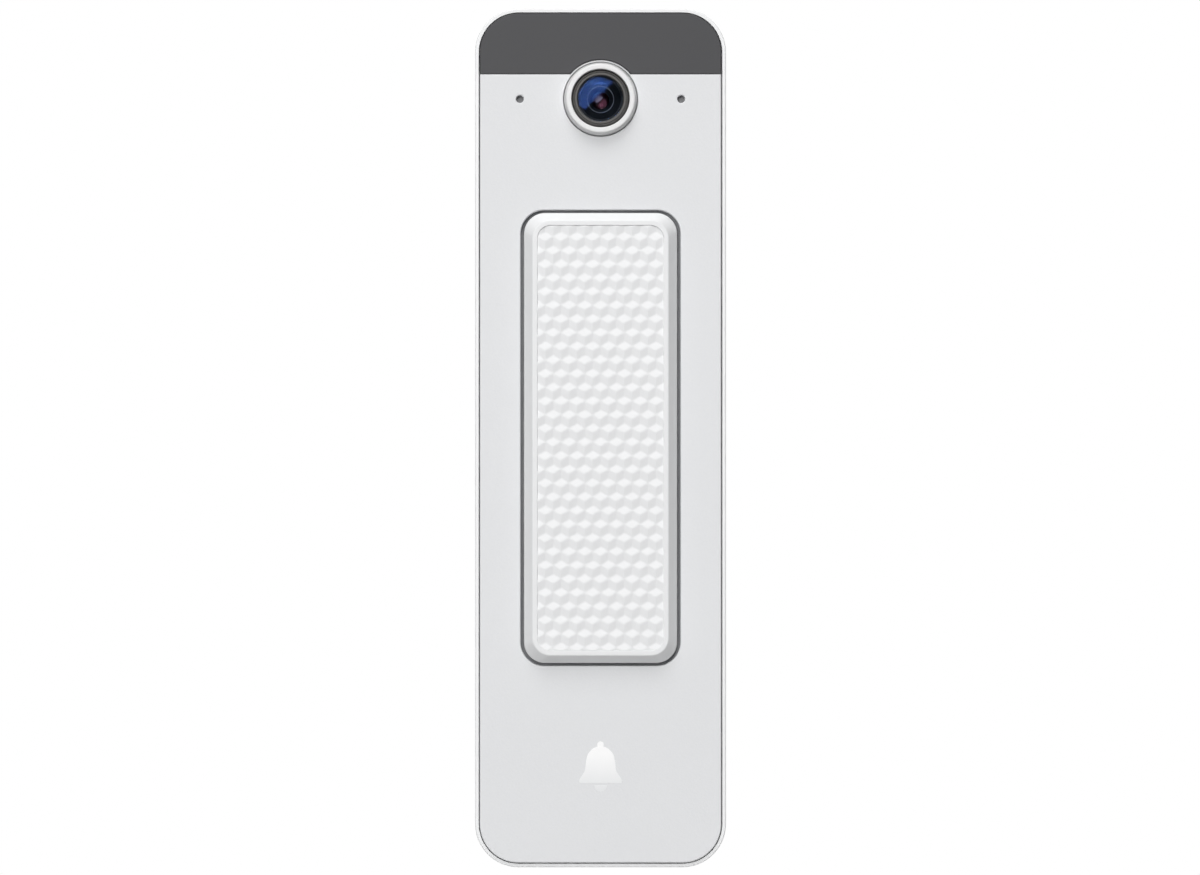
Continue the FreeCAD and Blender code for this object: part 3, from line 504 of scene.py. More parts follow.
# %% A material with its coordinates
def new_material(name, colour, roughness, **sockets):
    """A material with a Principled shader: constants go on the shader's own sockets."""
    material = bpy.data.materials.new(name)
    material.use_nodes = True
    tree = material.node_tree
    tree.nodes.clear()
    shader = add(tree, "BsdfPrincipled")
    output = add(tree, "OutputMaterial")
    where = add(tree, "TexCoord")
    shader.inputs["Base Color"].default_value = (*colour, 1)
    shader.inputs["Roughness"].default_value = roughness
    for label, value in sockets.items():
        shader.inputs[label.replace("_", " ").title().replace("Ior", "IOR")].default_value = value
    join(tree, (shader.outputs["BSDF"], output.inputs["Surface"]))
    return material, tree, shader, where.outputs["Object"]


def use_group(tree, name, vector, **values):
    """Places a shared effect in a material with its own values."""
    node = tree.nodes.new("ShaderNodeGroup")
    node.node_tree = GROUPS[name]
    tree.links.new(vector, node.inputs["Vector"])
    for label, value in values.items():
        node.inputs[label.title()].default_value = value
    return node


def moulded(name, colour, roughness, size=0.2, depth=0.006, drift=0.02, fleck=0.03, **sockets):
    """Moulded plastic, rubber or paint: grain, a drifting tone and a roughness that follows them."""
    material, tree, shader, where = new_material(name, colour, roughness, **sockets)
    grain = use_group(tree, "fine_grain", where, size=size, depth=depth)
    tone = use_group(tree, "tone_drift", where, colour=(*colour, 1), amount=drift, fleck=fleck)
    dull = add(tree, "MapRange", to_min=roughness * 0.9, to_max=roughness * 1.1)
    join(tree,
         (grain.outputs["Grain"], tone.inputs["Grain"]),
         (tone.outputs["Colour"], shader.inputs["Base Color"]),
         (grain.outputs["Grain"], dull.inputs["Value"]),
         (dull.outputs["Result"], shader.inputs["Roughness"]),
         (grain.outputs["Normal"], shader.inputs["Normal"]))
    return material


def metal(name, colour, roughness, scale=(300.0, 300.0, 9000.0), depth=0.002, **sockets):
    """Bare or plated metal with fine scratches that change its tone and roughness."""
    material, tree, shader, where = new_material(name, colour, roughness, metallic=1.0, **sockets)
    streaks = use_group(tree, "brushed", where, scale=scale, depth=depth)
    tone = use_group(tree, "tone_drift", where, colour=(*colour, 1), amount=0.06, fleck=0.12)
    dull = add(tree, "MapRange", to_min=roughness * 0.7, to_max=roughness * 1.3)
    join(tree,
         (streaks.outputs["Streak"], tone.inputs["Grain"]),
         (tone.outputs["Colour"], shader.inputs["Base Color"]),
         (streaks.outputs["Streak"], dull.inputs["Value"]),
         (dull.outputs["Result"], shader.inputs["Roughness"]),
         (streaks.outputs["Normal"], shader.inputs["Normal"]))
    return material


# %% Plastics, rubbers and metals
FINISH = {
    "pale_shell": moulded("pale_shell", (0.86, 0.865, 0.87), 0.42, drift=0.01),
    "pale_face": moulded("pale_face", (0.755, 0.762, 0.775), 0.55, size=0.3, depth=0.016, fleck=0.05),
    "pale_button": moulded("pale_button", (0.81, 0.815, 0.822), 0.45, drift=0.008, fleck=0.012),
    "smoked_window": moulded("smoked_window", (0.058, 0.058, 0.062), 0.5, depth=0.001, fleck=0.02,
                             specular_ior_level=0.3),
    "white_trim": moulded("white_trim", (0.775, 0.775, 0.775), 0.35, depth=0.002, drift=0.006, fleck=0.008),
    "black_plastic": moulded("black_plastic", (0.028, 0.028, 0.029), 0.42, size=0.12, depth=0.004),
    "grey_plastic": moulded("grey_plastic", (0.16, 0.165, 0.17), 0.5, size=0.25, depth=0.01),
    # The light ring in the gap round the button is an unlit smoked guide, drawn a darker grey than that as
    # painted shade, so the gap looks deep in shadow.
    "clear_diffuser": moulded("clear_diffuser", (0.22, 0.225, 0.235), 0.45, size=0.4, depth=0.004),
    "rubber_black": moulded("rubber_black", (0.02, 0.02, 0.021), 0.75, size=0.1, depth=0.012, fleck=0.1),
    "rubber_white": moulded("rubber_white", (0.62, 0.62, 0.61), 0.7, size=0.1, depth=0.01),
    "chip_black": moulded("chip_black", (0.035, 0.036, 0.038), 0.6, size=0.06, depth=0.004, fleck=0.2),
    "paper_black": moulded("paper_black", (0.04, 0.038, 0.036), 0.9, size=0.25, depth=0.03, fleck=0.4),
    "label_grey": moulded("label_grey", (0.55, 0.56, 0.57), 0.35, size=0.5, depth=0.002),
    "polyimide": moulded("polyimide", (0.50, 0.22, 0.04), 0.3, size=0.8, depth=0.004, coat_weight=0.3),
    "steel": metal("steel", (0.58, 0.58, 0.59), 0.28),
    "brass": metal("brass", (0.72, 0.52, 0.22), 0.3, scale=(4000.0, 4000.0, 300.0), depth=0.01),
    "tin_shield": metal("tin_shield", (0.64, 0.64, 0.62), 0.36, scale=(4000.0, 300.0, 400.0)),
    "copper": metal("copper", (0.66, 0.30, 0.13), 0.35, scale=(200.0, 200.0, 6000.0), depth=0.03),
    "gold_contact": metal("gold_contact", (0.88, 0.62, 0.22), 0.2),
    "magnet": metal("magnet", (0.60, 0.60, 0.61), 0.15, scale=(600.0, 600.0, 600.0)),
}
print(len(FINISH), "plain finishes")

# %% [markdown]
# Some finishes need more than one effect. The bracket is steel under a powder coat that has rubbed
# thin on its outer edges. A circuit board is glass fibre cloth under green lacquer, so its weave
# shows faintly, and the copper tracks beneath show as a second green. The dust cloth in front of the
# speaker is a plain weave: two sets of ridges at right angles, multiplied. Its colour is darker in
# the hollows of the weave, a painted shade.

# %% Two colours by a mask
def mix_colours(tree, mask, first, second):
    """Blends two colours, each a fixed colour or an output, by a mask from 0 to 1."""
    blend = add(tree, "Mix", data_type="RGBA")
    tree.links.new(mask, blend.inputs[0])
    for socket, source in zip([s for s in blend.inputs if s.type == "RGBA"], (first, second)):
        if isinstance(source, tuple):
            socket.default_value = (*source, 1)
        else:
            tree.links.new(source, socket)
    return [s for s in blend.outputs if s.type == "RGBA"][0]


def coated_steel(name):
    """Grey powder coat with orange peel, rubbed through to bare steel on the outer edges."""
    colour = (0.30, 0.31, 0.32)
    material, tree, shader, where = new_material(name, colour, 0.5)
    grain = use_group(tree, "fine_grain", where, size=0.6, depth=0.02)
    tone = use_group(tree, "tone_drift", where, colour=(*colour, 1), amount=0.05, fleck=0.1)
    wear = use_group(tree, "worn_edges", where, reach=0.35)
    dull = add(tree, "MapRange", to_min=0.52, to_max=0.3)
    bare = mix_colours(tree, wear.outputs["Mask"], tone.outputs["Colour"], (0.55, 0.55, 0.56))
    join(tree,
         (grain.outputs["Grain"], tone.inputs["Grain"]),
         (bare, shader.inputs["Base Color"]),
         (wear.outputs["Mask"], shader.inputs["Metallic"]),
         (wear.outputs["Mask"], dull.inputs["Value"]),
         (dull.outputs["Result"], shader.inputs["Roughness"]),
         (grain.outputs["Normal"], shader.inputs["Normal"]))
    return material


def circuit_board(name):
    """Green lacquer over glass cloth: tracks are blocks of a stepped noise, a slightly lighter green."""
    material, tree, shader, where = new_material(name, (0.02, 0.11, 0.045), 0.35, coat_weight=0.4)
    tracks = add(tree, "TexVoronoi", distance="MANHATTAN", feature="DISTANCE_TO_EDGE", scale=420.0)
    edge = add(tree, "MapRange", from_min=0.04, from_max=0.07)
    cloth = add(tree, "TexWave", bands_direction="DIAGONAL", scale=1500.0, distortion=1.0)
    bump = add(tree, "Bump", strength=0.25, distance=0.00002)
    green = mix_colours(tree, edge.outputs["Result"], (0.035, 0.19, 0.075), (0.016, 0.095, 0.04))
    join(tree,
         (where, tracks.inputs["Vector"]), (where, cloth.inputs["Vector"]),
         (tracks.outputs["Distance"], edge.inputs["Value"]),
         (green, shader.inputs["Base Color"]),
         (cloth.outputs["Fac"], bump.inputs["Height"]),
         (bump.outputs["Normal"], shader.inputs["Normal"]))
    return material


def woven_cloth(name):
    """Black plain weave: ridges along x times ridges along z, with a soft sheen, and painted shade: darker
    colour in the hollows.
    """
    material, tree, shader, where = new_material(name, (0.02, 0.02, 0.021), 0.9, sheen_weight=0.3)
    ridges = []
    for direction in ("X", "Z"):
        band = add(tree, "TexWave", bands_direction=direction, scale=900.0)
        tree.links.new(where, band.inputs["Vector"])
        ridges.append(band.outputs["Fac"])
    weave = add(tree, "Math", operation="MULTIPLY")
    bump = add(tree, "Bump", distance=0.00005)
    # Painted shade: the weave's colour is darker in its hollows and lighter on its ridges.
    shade = mix_colours(tree, weave.outputs[0], (0.008, 0.008, 0.009), (0.045, 0.045, 0.047))
    join(tree,
         (ridges[0], weave.inputs[0]), (ridges[1], weave.inputs[1]),
         (weave.outputs[0], bump.inputs["Height"]),
         (shade, shader.inputs["Base Color"]),
         (bump.outputs["Normal"], shader.inputs["Normal"]))
    return material


FINISH["bracket_steel"] = coated_steel("bracket_steel")
FINISH["circuit_board"] = circuit_board("circuit_board")
FINISH["cloth_black"] = woven_cloth("cloth_black")

# %% [markdown]
# ## Glass
#
# Camera glass is coated against reflections. What it still reflects is deep blue, so the clear glass
# gets a blue specular tint rather than a blue body. The infrared lamps are clear glass without the
# coating. The filter's panes absorb red and infrared light, so their body is cyan.

# %% Clear and coated glass
def glass(name, colour, roughness=0.02, **sockets):
    """Clear glass with the faintest haze; what makes it special is set on the shader's sockets."""
    material, tree, shader, where = new_material(
        name, colour, roughness, transmission_weight=1.0, **sockets)
    haze = use_group(tree, "fine_grain", where, size=1.5, depth=0.0002)
    dull = add(tree, "MapRange", to_min=roughness * 0.5, to_max=roughness * 1.5)
    join(tree,
         (haze.outputs["Grain"], dull.inputs["Value"]),
         (dull.outputs["Result"], shader.inputs["Roughness"]))
    return material


FINISH["lens_glass"] = glass("lens_glass", (0.93, 0.95, 1.0), ior=1.5)
FINISH["filter_glass"] = glass("filter_glass", (0.55, 0.78, 0.82), ior=1.5)
COATED_GLASS = glass("coated_glass", (0.80, 0.88, 1.0), 0.015, ior=1.7,
                     specular_tint=(0.022, 0.048, 0.155, 1))
print("glass:", COATED_GLASS.name)

# %% Every CAD part gets the finish of its slot
for name, node in frame["nodes"].items():
    for place in node.material_slots:
        place.material = FINISH[place.material.name.split(".")[0]]
print("finished", len(frame["nodes"]), "CAD parts")

# %% [markdown]
# ## The face plate
#
# The face plate is one injection moulding. Its front stops at the window's lower edge, except round
# the lens, where a thin collar rises into the window. Behind that front lies a thinner layer over
# the whole cover: it carries the window and leaves room for the light ring. So the plate is made of
# two layers of one profile, each with its own outline and holes. A boolean cut would give the same
# shape, but its edges would be sharp and its mesh full of slivers.

# %% Outlines of the cover
COLLAR_R = 5.9


def cover_outline():
    """The whole cover: a rounded rectangle."""
    return rounded_rectangle(COVER_W + COVER_EASE, COVER_H + COVER_EASE, COVER_R)


def part_of_cover(side, edge_z, r, corner=0.18):
    """The cover below a height (side -1) or above it (side 1). Near the lens its edge follows a
    circle over the top of the ring, from one crossing with that height to the other, and small
    fillets soften each corner."""
    rim = [p for p in cover_outline() if p[1] * side > 0]
    rim = np.array(sorted(rim, key=lambda p: math.atan2(p[1], p[0])))
    start = math.degrees(math.asin((edge_z - LENS_Z) / r))
    arc = arc_points(r, 0, LENS_Z, *(start, 180 - start)[::-side], 48)
    half = COVER_W / 2 * side
    edge = [(-half, edge_z + side), (-half, edge_z), (side - half, edge_z), (arc[0, 0] - side, edge_z), *arc,
            (arc[-1, 0] + side, edge_z), (half - side, edge_z), (half, edge_z), (half, edge_z + side)]
    radii = [0, corner, 0, 0, corner, *[0] * (len(arc) - 2), corner, 0, 0, corner, 0]
    return np.vstack([rim, filleted(edge, radii)])


front_outline = part_of_cover(-1, WINDOW_EDGE, COLLAR_R)
print("face outline:", len(front_outline), "points")

# %% Holes of the cover
OPENING = (24.2, 69.0, 3.6)                # the button's opening: width, height, corner radius
RING_STEP = (26.8, 71.6, 4.9)              # the step behind it, for the light ring
LENS_HOLE_R = 5.64
MIC_R = 0.57
LAMP_R, LAMP_Z = 1.7, 60.6                 # holes over the night lamps
LAMP_XS = (-9.6, -5.4, 5.4, 9.6)
SENSOR_R, SENSOR_Z = 1.0, 60.9             # hole over the light sensor


def hole(outline):
    """A hole is an outline run clockwise."""
    return outline[::-1]


lens_hole = hole(circle(LENS_HOLE_R, 0, LENS_Z, 96))
mic_holes = [hole(circle(MIC_R, sx * MIC_X, LENS_Z, 32)) for sx in (-1, 1)]
front_holes = [hole(rounded_rectangle(*OPENING, steps=18)), lens_hole, *mic_holes]
lamp_holes = [hole(circle(LAMP_R, x, LAMP_Z, 32)) for x in LAMP_XS]
rear_holes = [hole(rounded_rectangle(*RING_STEP)), lens_hole, *mic_holes, *lamp_holes,
              hole(circle(SENSOR_R, 0.0, SENSOR_Z, 32))]
print(len(front_holes), "holes in front,", len(rear_holes), "behind")


# %% Screw bosses
BOSSES = (                                 # radius, x, z, tip, bore radius, end of the bore
    (2.1, 14.2, 60.0, 9.0, 0.85, 19.0),
    (2.1, 14.9, 39.5, 9.0, 0.85, 19.0),
    (1.8, 4.6, 39.6, 18.8, 0.65, 21.3),
    (2.1, 14.2, -60.0, 9.0, 0.85, 19.0),
    (2.1, 14.9, -39.5, 9.0, 0.85, 19.0),
    (1.8, 4.6, -39.6, 18.8, 0.65, 21.3),
    (1.8, 10.9, 46.6, 13.6, 0.65, 18.0),
    (1.7, 11.9, 55.6, 19.6, 0.65, 21.3),
)


def boss(r, x, z, tip, bore, bore_end):
    """A round boss that stands on the back of the cover: a rod with a blind hole from its tip."""
    return turned([(0, COVER_BACK), (r, COVER_BACK), (r, tip + 0.15), (r - 0.15, tip), (bore, tip),
                   (bore, bore_end), (0, bore_end)], x, z, 40)


bosses = [boss(r, side * x, *rest) for side in (-1, 1) for r, x, *rest in BOSSES]
print(len(bosses), "bosses")

# %% The face plate itself
face_plate = make_piece(
    "face_plate",
    [*plate([front_outline, *front_holes], STEP, FACE, 0.02, 0.18),
     *plate([cover_outline(), *rear_holes], COVER_BACK, STEP, 0.1, 0.02), *bosses],
    "doorbell", "pale_face", ["front_cover"])

# %% Mesh behind the microphone holes
def mesh_disc(x, z, r=0.66, front=22.6, back=22.4):
    """A thin disc of acoustic mesh across a hole, a little wider than it, so that its rim lies in
    the wall of the hole."""
    return turned([(0, back), (r, back), (r, front), (0, front)], x, z, 32)


GREY_MESH = moulded("grey_mesh", (0.21, 0.21, 0.215), 0.7, size=0.12, depth=0.03)
microphone_mesh = make_piece(
    "microphone_mesh", [mesh_disc(side * MIC_X, LENS_Z) for side in (-1, 1)],
    "doorbell", "cloth_black", finish=GREY_MESH)

# %% [markdown]
# ## The smoked window
#
# The camera's night lamps shine through this window. It is tinted acrylic that looks grey-black, and
# it lies flush with the face plate. Its outline is the rest of the cover: the top corners, the lower
# edge, and a round bite for the lens collar, with a hair of clearance.

# %% The window's plate
CLEARANCE = 0.08
smoked_window = make_piece(
    "smoked_window", plate([part_of_cover(1, WINDOW_EDGE, COLLAR_R + CLEARANCE)], STEP, FACE, 0.04, 0.12),
    "doorbell", "smoked_window", ["ir_window"])

# %% [markdown]
# ## The button
#
# The button is a hollow cap. From the outside in it has a flange that the cover holds back, a skirt,
# a bevel all round, a flat border, and a sunk field with the pattern of cubes. Each level of it is a
# rounded rectangle, so one profile describes the whole outside: how far in from the flange's edge,
# and at what depth. A table turns the first number into a width, a height and a corner radius.

# %% Levels of the button
CROWN = span("button_cap", "d")[1]
BEVEL_FOOT = 24.15
RELIEF = 0.45
LEVELS = np.array([        # inset from the flange, width, height, corner radius
    (0.0, 25.8, 70.7, 4.5),
    (1.35, 23.1, 68.0, 3.15),
    (2.65, 20.5, 65.6, 2.7),
    (3.4, 19.0, 64.1, 1.95),
])


def button_ring(amount, depth, steps=16):
    """The rounded rectangle that lies an amount inside the flange's edge, at a depth."""
    w, h, r = [np.interp(amount, LEVELS[:, 0], LEVELS[:, k]) for k in (1, 2, 3)]
    return layer(rounded_rectangle(w, h, r, steps=steps), depth)


BUTTON_REAR = 20.0
FLANGE_FRONT = 20.8
CEILING = 23.3                   # how far forward the button is hollow
HOLLOW = (20.2, 65.0, 2.0)
profile = filleted(
    [(0.0, BUTTON_REAR), (0.0, FLANGE_FRONT), (1.35, FLANGE_FRONT), (1.35, BEVEL_FOOT), (2.65, CROWN),
     (3.4, CROWN), (3.4, CROWN - RELIEF)],
    [0, 0.1, 0.12, 0.14, 0.3, 0.09, 0], closed=False, steps=5)
outside = [button_ring(amount, depth) for amount, depth in profile]
inside = [layer(rounded_rectangle(*HOLLOW, steps=16), depth) for depth in (CEILING, BUTTON_REAR)]
print("button profile:", len(profile), "points")

# %% Pushers, guide posts and ribs behind the button
def stud(r, x, z, tip):
    """A round stud from the button's ceiling to its tip, with a small chamfer."""
    return turned([(0, CEILING), (r, CEILING), (r, tip + 0.2), (r - 0.2, tip), (0, tip)], x, z, 40)


SWITCH_Z, POST_X, POST_Z = 16.0, 8.4, 27.0
studs = [stud(2.2, 0, side * SWITCH_Z, 19.65) for side in (-1, 1)]
studs += [stud(1.2, sx * POST_X, sz * POST_Z, 17.6) for sx in (-1, 1) for sz in (-1, 1)]
ribs = []
for z in (-POST_Z, -SWITCH_Z, 0.0, SWITCH_Z, POST_Z):
    ribs += plate([rounded_rectangle(20.3, 0.8, 0.1, 0, z, 2, 0.05)], 21.0, CEILING, 0.1, 0.01)
print(len(studs), "studs,", len(ribs) // 3, "ribs")

# %% [markdown]
# The pattern is a field of cubes seen corner on. In plan it is a grid of equal triangles, and each
# corner of the grid is high, low or halfway, in turn. With a third of the corners each way, every
# triangle has one of each, and flat faces appear in threes: a top, a left and a right. A height field
# keeps the folds crisp as long as its own points lie on the folds, so the points divide each
# triangle's side into eight. An image of cubes used as a bump map would blur at every fold.

# %% Heights of the cube pattern
SIDE = 1.376                     # side of one triangle, which runs up the field
PITCH = SIDE * math.sqrt(3) / 2  # from one column of corners to the next
ORIGIN = (-7 * PITCH, 29.7)      # a high corner
SWING = 0.105                    # how far high and low lie from halfway


def cube_height(x, z):
    """Height of the cubes: the three corners' heights, shared by how near the point is to each."""
    j = (x - ORIGIN[0]) / PITCH
    i = (z - ORIGIN[1]) / SIDE - j / 2
    i0, j0 = np.floor(i), np.floor(j)
    u, v = i - i0, j - j0
    far = u + v > 1

    def corner(a, b):
        kind = np.mod(i0 + a + 2 * (j0 + b), 3)
        return np.choose(kind.astype(int), [SWING, -SWING, 0.0])

    near_side = corner(0, 0) * (1 - u - v) + corner(1, 0) * u + corner(0, 1) * v
    far_side = corner(1, 1) * (u + v - 1) + corner(0, 1) * (1 - u) + corner(1, 0) * (1 - v)
    return np.where(far, far_side, near_side)


def soft_cube_height(x, z, reach=0.07):
    """The same, averaged over a small ring of neighbours, which rounds each fold."""
    turn = np.arange(6) * math.pi / 3 + math.pi / 6
    ring = [cube_height(x + reach * math.cos(t), z + reach * math.sin(t)) for t in turn]
    return (cube_height(x, z) + sum(ring)) / 7


# %% The patterned field as a closed slab
def cube_field(w, h, r, mean, floor, cuts=8):
    """Columns of points stand a fraction of the pitch apart, every second one half a step up, as
    the grid of triangles needs. Each column ends on the rounded outline."""
    columns = np.arange(round(w / 2 / PITCH * cuts) * 2 + 1) - round(w / 2 / PITCH * cuts)
    x = columns * PITCH / cuts
    past = np.maximum(np.abs(x) - (w / 2 - r), 0)
    reach = h / 2 - r + np.sqrt(np.maximum(r * r - past * past, 0))
    rows = np.arange(-int(h / 2 / SIDE * cuts) - 4, int(h / 2 / SIDE * cuts) + 5)
    shift = (ORIGIN[1] / SIDE * cuts) % 1.0
    half_step = np.where(columns % 2 == 1, 0.5, 0.0)
    z = (rows[:, None] + shift + half_step[None, :]) * SIDE / cuts
    z = np.clip(z, -reach[None, :], reach[None, :])
    x = np.broadcast_to(x, z.shape)
    points = np.stack([x, mean + soft_cube_height(x, z), z], -1)
    number = np.arange(z.size).reshape(z.shape)
    a, b, c, d = number[:-1, :-1], number[:-1, 1:], number[1:, 1:], number[1:, :-1]
    up = np.broadcast_to(columns[None, :-1] % 2 == 0, a.shape)
    first = np.where(up[..., None], np.stack([a, b, d], -1), np.stack([a, b, c], -1))
    second = np.where(up[..., None], np.stack([b, c, d], -1), np.stack([a, c, d], -1))
    edge = np.concatenate([number[0, :-1], number[:-1, -1], number[-1, :0:-1], number[:0:-1, 0]])
    top = points.reshape(-1, 3)
    foot = top[edge] * (1, 0, 1) + (0, floor, 0)
    every = np.vstack([top, foot, [[0, floor, 0]]])
    foot_number = len(top) + np.arange(len(edge))
    sides = np.stack([edge, np.roll(edge, -1), np.roll(foot_number, -1), foot_number], -1)
    base = fan_faces(foot_number, len(every) - 1)
    return every, [first.reshape(-1, 3), second.reshape(-1, 3), sides, base]


field = cube_field(19.06, 64.06, 1.98, CROWN - 0.02 - SWING, CROWN - RELIEF - 0.1)
print("cube field:", sum(len(f) for f in field[1]), "faces")

# %% The button itself
push_button = make_piece(
    "push_button",
    [wall(outside), cap([outside[-1][:, ::2]], CROWN - RELIEF), wall(inside),
     cap([inside[0][:, ::2]], CEILING), cap([outside[0][:, ::2], hole(inside[1][:, ::2])], BUTTON_REAR),
     *studs, *ribs],
    "button", "pale_button", ["button_cap"])
cube_pattern = make_piece("cube_pattern", [field], "button", "pale_button", crease=80)

# %% [markdown]
# ## The camera's ring, tube and glass
#
# These are turned shapes, so each is a profile about the lens axis. The white ring is a separate
# trim with a softly rounded lip. Inside it sits the black tube of the lens, with a groove round its
# rim and fine steps in its throat that catch stray light. The front glass is domed on both sides.
# Two more pieces of glass lie deeper, behind a thin grey ring. One is domed and the other hollow, so
# each shows a small image of the lights, one above the axis and one below, in its coating's colour.

# %% Trim ring
RING_FRONT = span("lens_trim", "d")[1]
ring_profile = filleted(
    [(4.39, 20.4), (6.6, 20.4), (6.6, COVER_BACK), (5.52, COVER_BACK), (5.52, 23.75), (5.2, RING_FRONT),
     (4.39, RING_FRONT)],
    [0.05, 0.05, 0.05, 0.1, 0.3, 0.26, 0.16], steps=8)
trim_ring = make_piece(
    "trim_ring", [turned(ring_profile, 0, LENS_Z, 128)], "doorbell", "white_trim", ["lens_trim"])

# %% Finish of the tube
def tube_finish(name, mouth, throat, level):
    """Satin black outside, and the matt black of a flocked throat deeper than a level: the mask is
    the distance in front of the wall, which is -y."""
    material, tree, shader, where = new_material(name, mouth, 0.5)
    apart = add(tree, "SeparateXYZ")
    deep = add(tree, "MapRange", from_min=-(level - 0.1) * MM, from_max=-(level - 0.3) * MM)
    grain = use_group(tree, "fine_grain", where, size=0.08, depth=0.002)
    tone = use_group(tree, "tone_drift", where, colour=(*mouth, 1), amount=0.04, fleck=0.06)
    black = mix_colours(tree, deep.outputs["Result"], tone.outputs["Colour"], throat)
    dull = add(tree, "MapRange", to_min=0.5, to_max=0.9)
    join(tree,
         (where, apart.inputs["Vector"]), (apart.outputs["Y"], deep.inputs["Value"]),
         (grain.outputs["Grain"], tone.inputs["Grain"]),
         (black, shader.inputs["Base Color"]),
         (deep.outputs["Result"], dull.inputs["Value"]),
         (dull.outputs["Result"], shader.inputs["Roughness"]),
         (grain.outputs["Normal"], shader.inputs["Normal"]))
    return material


# %% Lens tube
THROAT = 23.3                    # front of the stepped throat
STEPS = 7
tube_outside = [(1.3, 13.6), (3.5, 13.6), (3.5, 22.8), (4.3, 22.8), (4.3, 24.45), (4.06, 24.88),
                (3.98, 24.88), (3.95, 24.7), (3.87, 24.7), (3.84, 24.9), (3.58, 24.9), (3.45, 24.62),
                (3.45, THROAT), (3.0, THROAT)]
throat = [(3.0 - 1.05 * k / STEPS - 0.06 * half, THROAT - 0.85 * (k + half) / STEPS)
          for k in range(STEPS) for half in (0, 1)]
tube_inside = [(1.95, 22.45), (1.95, 22.25), (1.3, 21.5), (1.3, 20.4), (2.2, 20.4), (2.2, 18.6),
               (1.3, 18.6), (1.3, 17.2), (2.5, 17.2), (2.5, 14.4), (1.3, 14.4)]
tube_profile = filleted(tube_outside + throat[1:] + tube_inside, 0.04, steps=3, margin=0.01)
lens_tube = make_piece(
    "lens_tube", [turned(tube_profile, 0, LENS_Z, 128)], "doorbell", "black_plastic", ["lens_barrel"],
    tube_finish("tube_black", (0.088, 0.085, 0.081), (0.006, 0.006, 0.007), THROAT + 0.2))


# %% Glass
def lens_profile(r, back, front, back_sag, front_sag, steps=18):
    """A lens as (radius, depth) points: each face is part of a sphere, as deep at a radius as the
    sphere is there, and a straight edge joins the two faces."""
    s = np.linspace(0, 1, steps)[:, None]
    rows = []
    for level, sag in ((back, back_sag), (front, front_sag)):
        ball = (r * r + sag * sag) / (2 * abs(sag))
        drop = ball - np.sqrt(ball ** 2 - (s * r) ** 2)
        rows.append(np.hstack([s * r, level + sag - math.copysign(1, sag) * drop]))
    return np.vstack([rows[0], rows[1][::-1]])


front_glass = make_piece(
    "front_glass", [turned(lens_profile(3.42, 23.35, 24.5, 0.25, 0.32), 0, LENS_Z, 96)],
    "doorbell", "lens_glass", ["front_lens"], COATED_GLASS)
upper_glass = make_piece(
    "upper_glass", [turned(lens_profile(2.18, 18.7, 19.6, -0.2, 0.75), 0, LENS_Z, 64)],
    "doorbell", "lens_glass", ["inner_lenses"],
    glass("violet_coating", (0.70, 0.30, 0.34), 0.05, ior=1.6, specular_tint=(0.55, 0.42, 0.48, 1)))
lower_glass = make_piece(
    "lower_glass", [turned(lens_profile(2.48, 14.9, 16.8, -0.3, -1.4), 0, LENS_Z, 64)],
    "doorbell", "lens_glass", finish=glass(
        "red_coating", (0.9, 0.4, 0.35), 0.08, ior=1.7, specular_tint=(1.0, 0.36, 0.34, 1)))
aperture_ring = make_piece(
    "aperture_ring", [turned([(1.87, 22.46), (1.97, 22.46), (1.97, 22.54), (1.87, 22.54)], 0, LENS_Z, 96)],
    "doorbell", "black_plastic", finish=moulded("ring_grey", (0.22, 0.22, 0.23), 0.4))

# %% [markdown]
# ## A mark low on the face
#
# A printed sign tells a visitor that this is the bell. It is a plain bell, printed in white that
# fades to the grey of the face. Print is only a few hundredths of a millimetre thick, so it is a very
# thin plate, and its colour runs from white to grey with height.

# %% The bell
MARK_Z = -49.7


def bell_outline(x=0.0, z=MARK_Z):
    """A bell: dome, waist and flared lip, the same on both sides."""
    right = [(0.0, 3.15), (1.05, 2.85), (1.95, 1.9), (2.2, 0.7), (2.35, -0.7), (3.25, -2.05),
             (3.25, -2.5)]
    left = [(-a, b) for a, b in right[:0:-1]]
    radii = [3.0, 2.0, 1.5, 3.0, 1.6, 0.5, 0.2]
    return filleted(right[::-1] + left[::-1], radii[::-1] + radii[1:]) + (x, z)


def clapper_outline(x=0.0, z=MARK_Z - 2.85):
    """Half a disc below the bell."""
    return arc_points(0.95, x, z, 180, 360, 20)


INK = 0.02                       # thickness of the print above the face
mark_parts = plate([bell_outline()], FACE - INK, FACE + INK, 0.005, 0.01)
mark_parts += plate([clapper_outline()], FACE - INK, FACE + INK, 0.005, 0.01)
mark_parts += plate([circle(0.5, 0, MARK_Z + 3.3, 24)], FACE - INK, FACE + INK - 0.005, 0.005, 0.01)


def print_finish(name, low, high):
    """White print that fades to grey towards the bottom: the mask is the height between two levels."""
    material, tree, shader, where = new_material(name, (0.85, 0.85, 0.85), 0.5)
    apart = add(tree, "SeparateXYZ")
    fade = add(tree, "MapRange", from_min=low * MM, from_max=high * MM)
    grain = use_group(tree, "fine_grain", where, size=0.3, depth=0.004)
    ink = mix_colours(tree, fade.outputs["Result"], (0.80, 0.81, 0.82), (0.98, 0.98, 0.98))
    join(tree,
         (where, apart.inputs["Vector"]), (apart.outputs["Z"], fade.inputs["Value"]),
         (ink, shader.inputs["Base Color"]), (grain.outputs["Normal"], shader.inputs["Normal"]))
    return material


bell_mark = make_piece("bell_mark", mark_parts, "doorbell", "white_trim",
                       finish=print_finish("faded_print", MARK_Z - 3.5, MARK_Z + 2.0))

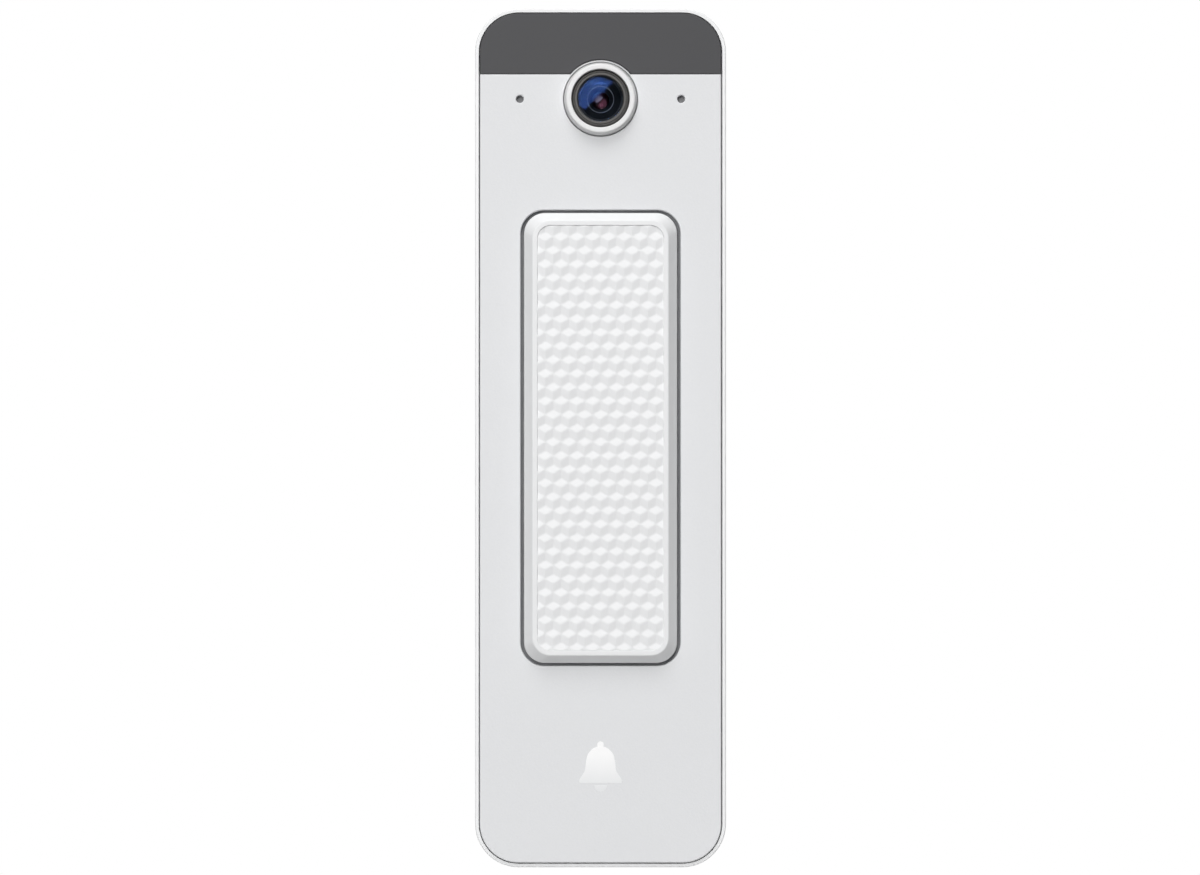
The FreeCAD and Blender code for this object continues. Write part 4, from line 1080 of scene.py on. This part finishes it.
# %% [markdown]
# ## Floor, light and background
#
# A pale floor lies below the doorbell, out of the camera's view, and throws a little light upwards.
# Three large soft lights stand some metres off, so that the face is evenly lit from end to end. The
# one beside the camera gives the face about half of its light. The two that hang high in front give
# a third, and leave a soft shadow under the button and the ring. A narrow strip nearer by gives the
# rest, and draws the bright streak in the lens. The camera sees a white background. As a light, that
# background is bright behind the doorbell, for the back and the sides, and dim in front of it.

# %% Floor
FLOOR_Z = -0.90
HALF = 0.7
floor_corners = np.array([(-1, -1), (1, -1), (1, 1), (-1, 1)]) * HALF
floor_mesh = bpy.data.meshes.new("floor")
floor_mesh.from_pydata(np.insert(floor_corners, 2, FLOOR_Z, axis=1).tolist(), [], [(0, 1, 2, 3)])
floor = bpy.data.objects.new("floor", floor_mesh)
bpy.context.scene.collection.objects.link(floor)
floor.data.materials.append(moulded("floor_paint", (0.8, 0.8, 0.8), 0.7, size=2.0, depth=0.05))
print("floor below the doorbell at z =", FLOOR_Z, "m")


# %% Lights
def soft_light(name, azimuth, elevation, distance, width, height, radiance, roll):
    """An area light that looks at the doorbell's middle. azimuth is towards +x and elevation is up,
    in degrees from straight in front, and roll turns it about its own axis. radiance is how bright
    its surface looks from anywhere, so its power is that times pi times its area."""
    a, e = math.radians(azimuth), math.radians(elevation)
    away = Vector((math.sin(a) * math.cos(e), -math.cos(a) * math.cos(e), math.sin(e)))
    data = bpy.data.lights.new(name, "AREA")
    data.shape = "RECTANGLE"
    data.size, data.size_y = width, height
    data.energy = radiance * math.pi * width * height
    light = bpy.data.objects.new(name, data)
    light.location = Vector((0, -FACE * MM, 0)) + away * distance
    light.rotation_euler = away.to_track_quat("Z", "Y").to_euler()
    light.rotation_euler.rotate_axis("Z", math.radians(roll))
    bpy.context.scene.collection.objects.link(light)


LIGHTS = (     # name, azimuth, elevation, distance, width and height in metres, radiance, roll
    ("beside_camera", -11.0, 12.7, 5.00, 1.75, 3.00, 8.0, -45.0),
    ("high", -8.0, 44.0, 6.00, 4.28, 2.13, 3.5, 0.0),
    ("higher", -8.0, 64.0, 6.00, 4.28, 2.13, 4.8, 0.0),
    ("strip", 0.0, 22.8, 1.00, 0.37, 0.055, 15.0, 0.0),
)
for row in LIGHTS:
    soft_light(*row)


# %% Background
world = bpy.data.worlds.new("studio")
bpy.context.scene.world = world
world.use_nodes = True
sky = world.node_tree
sky.nodes.clear()
direction = add(sky, "TexCoord")
parts_of = add(sky, "SeparateXYZ")
behind = add(sky, "MapRange", from_min=0.1, from_max=0.5, to_min=0.02, to_max=0.8)   # dim to bright
seen = add(sky, "LightPath")
strength = add(sky, "Mix", data_type="FLOAT")
strength.inputs["B"].default_value = 1.0
background = add(sky, "Background")
surface = add(sky, "OutputWorld")
join(sky,
     (direction.outputs["Generated"], parts_of.inputs["Vector"]),
     (parts_of.outputs["Y"], behind.inputs["Value"]),
     (seen.outputs["Is Camera Ray"], strength.inputs["Factor"]),
     (behind.outputs["Result"], strength.inputs["A"]),
     (strength.outputs["Result"], background.inputs["Strength"]),
     (background.outputs["Background"], surface.inputs["Surface"]))
background.inputs["Color"].default_value = (1, 1, 1, 1)
bpy.context.scene.view_settings.view_transform = "Standard"
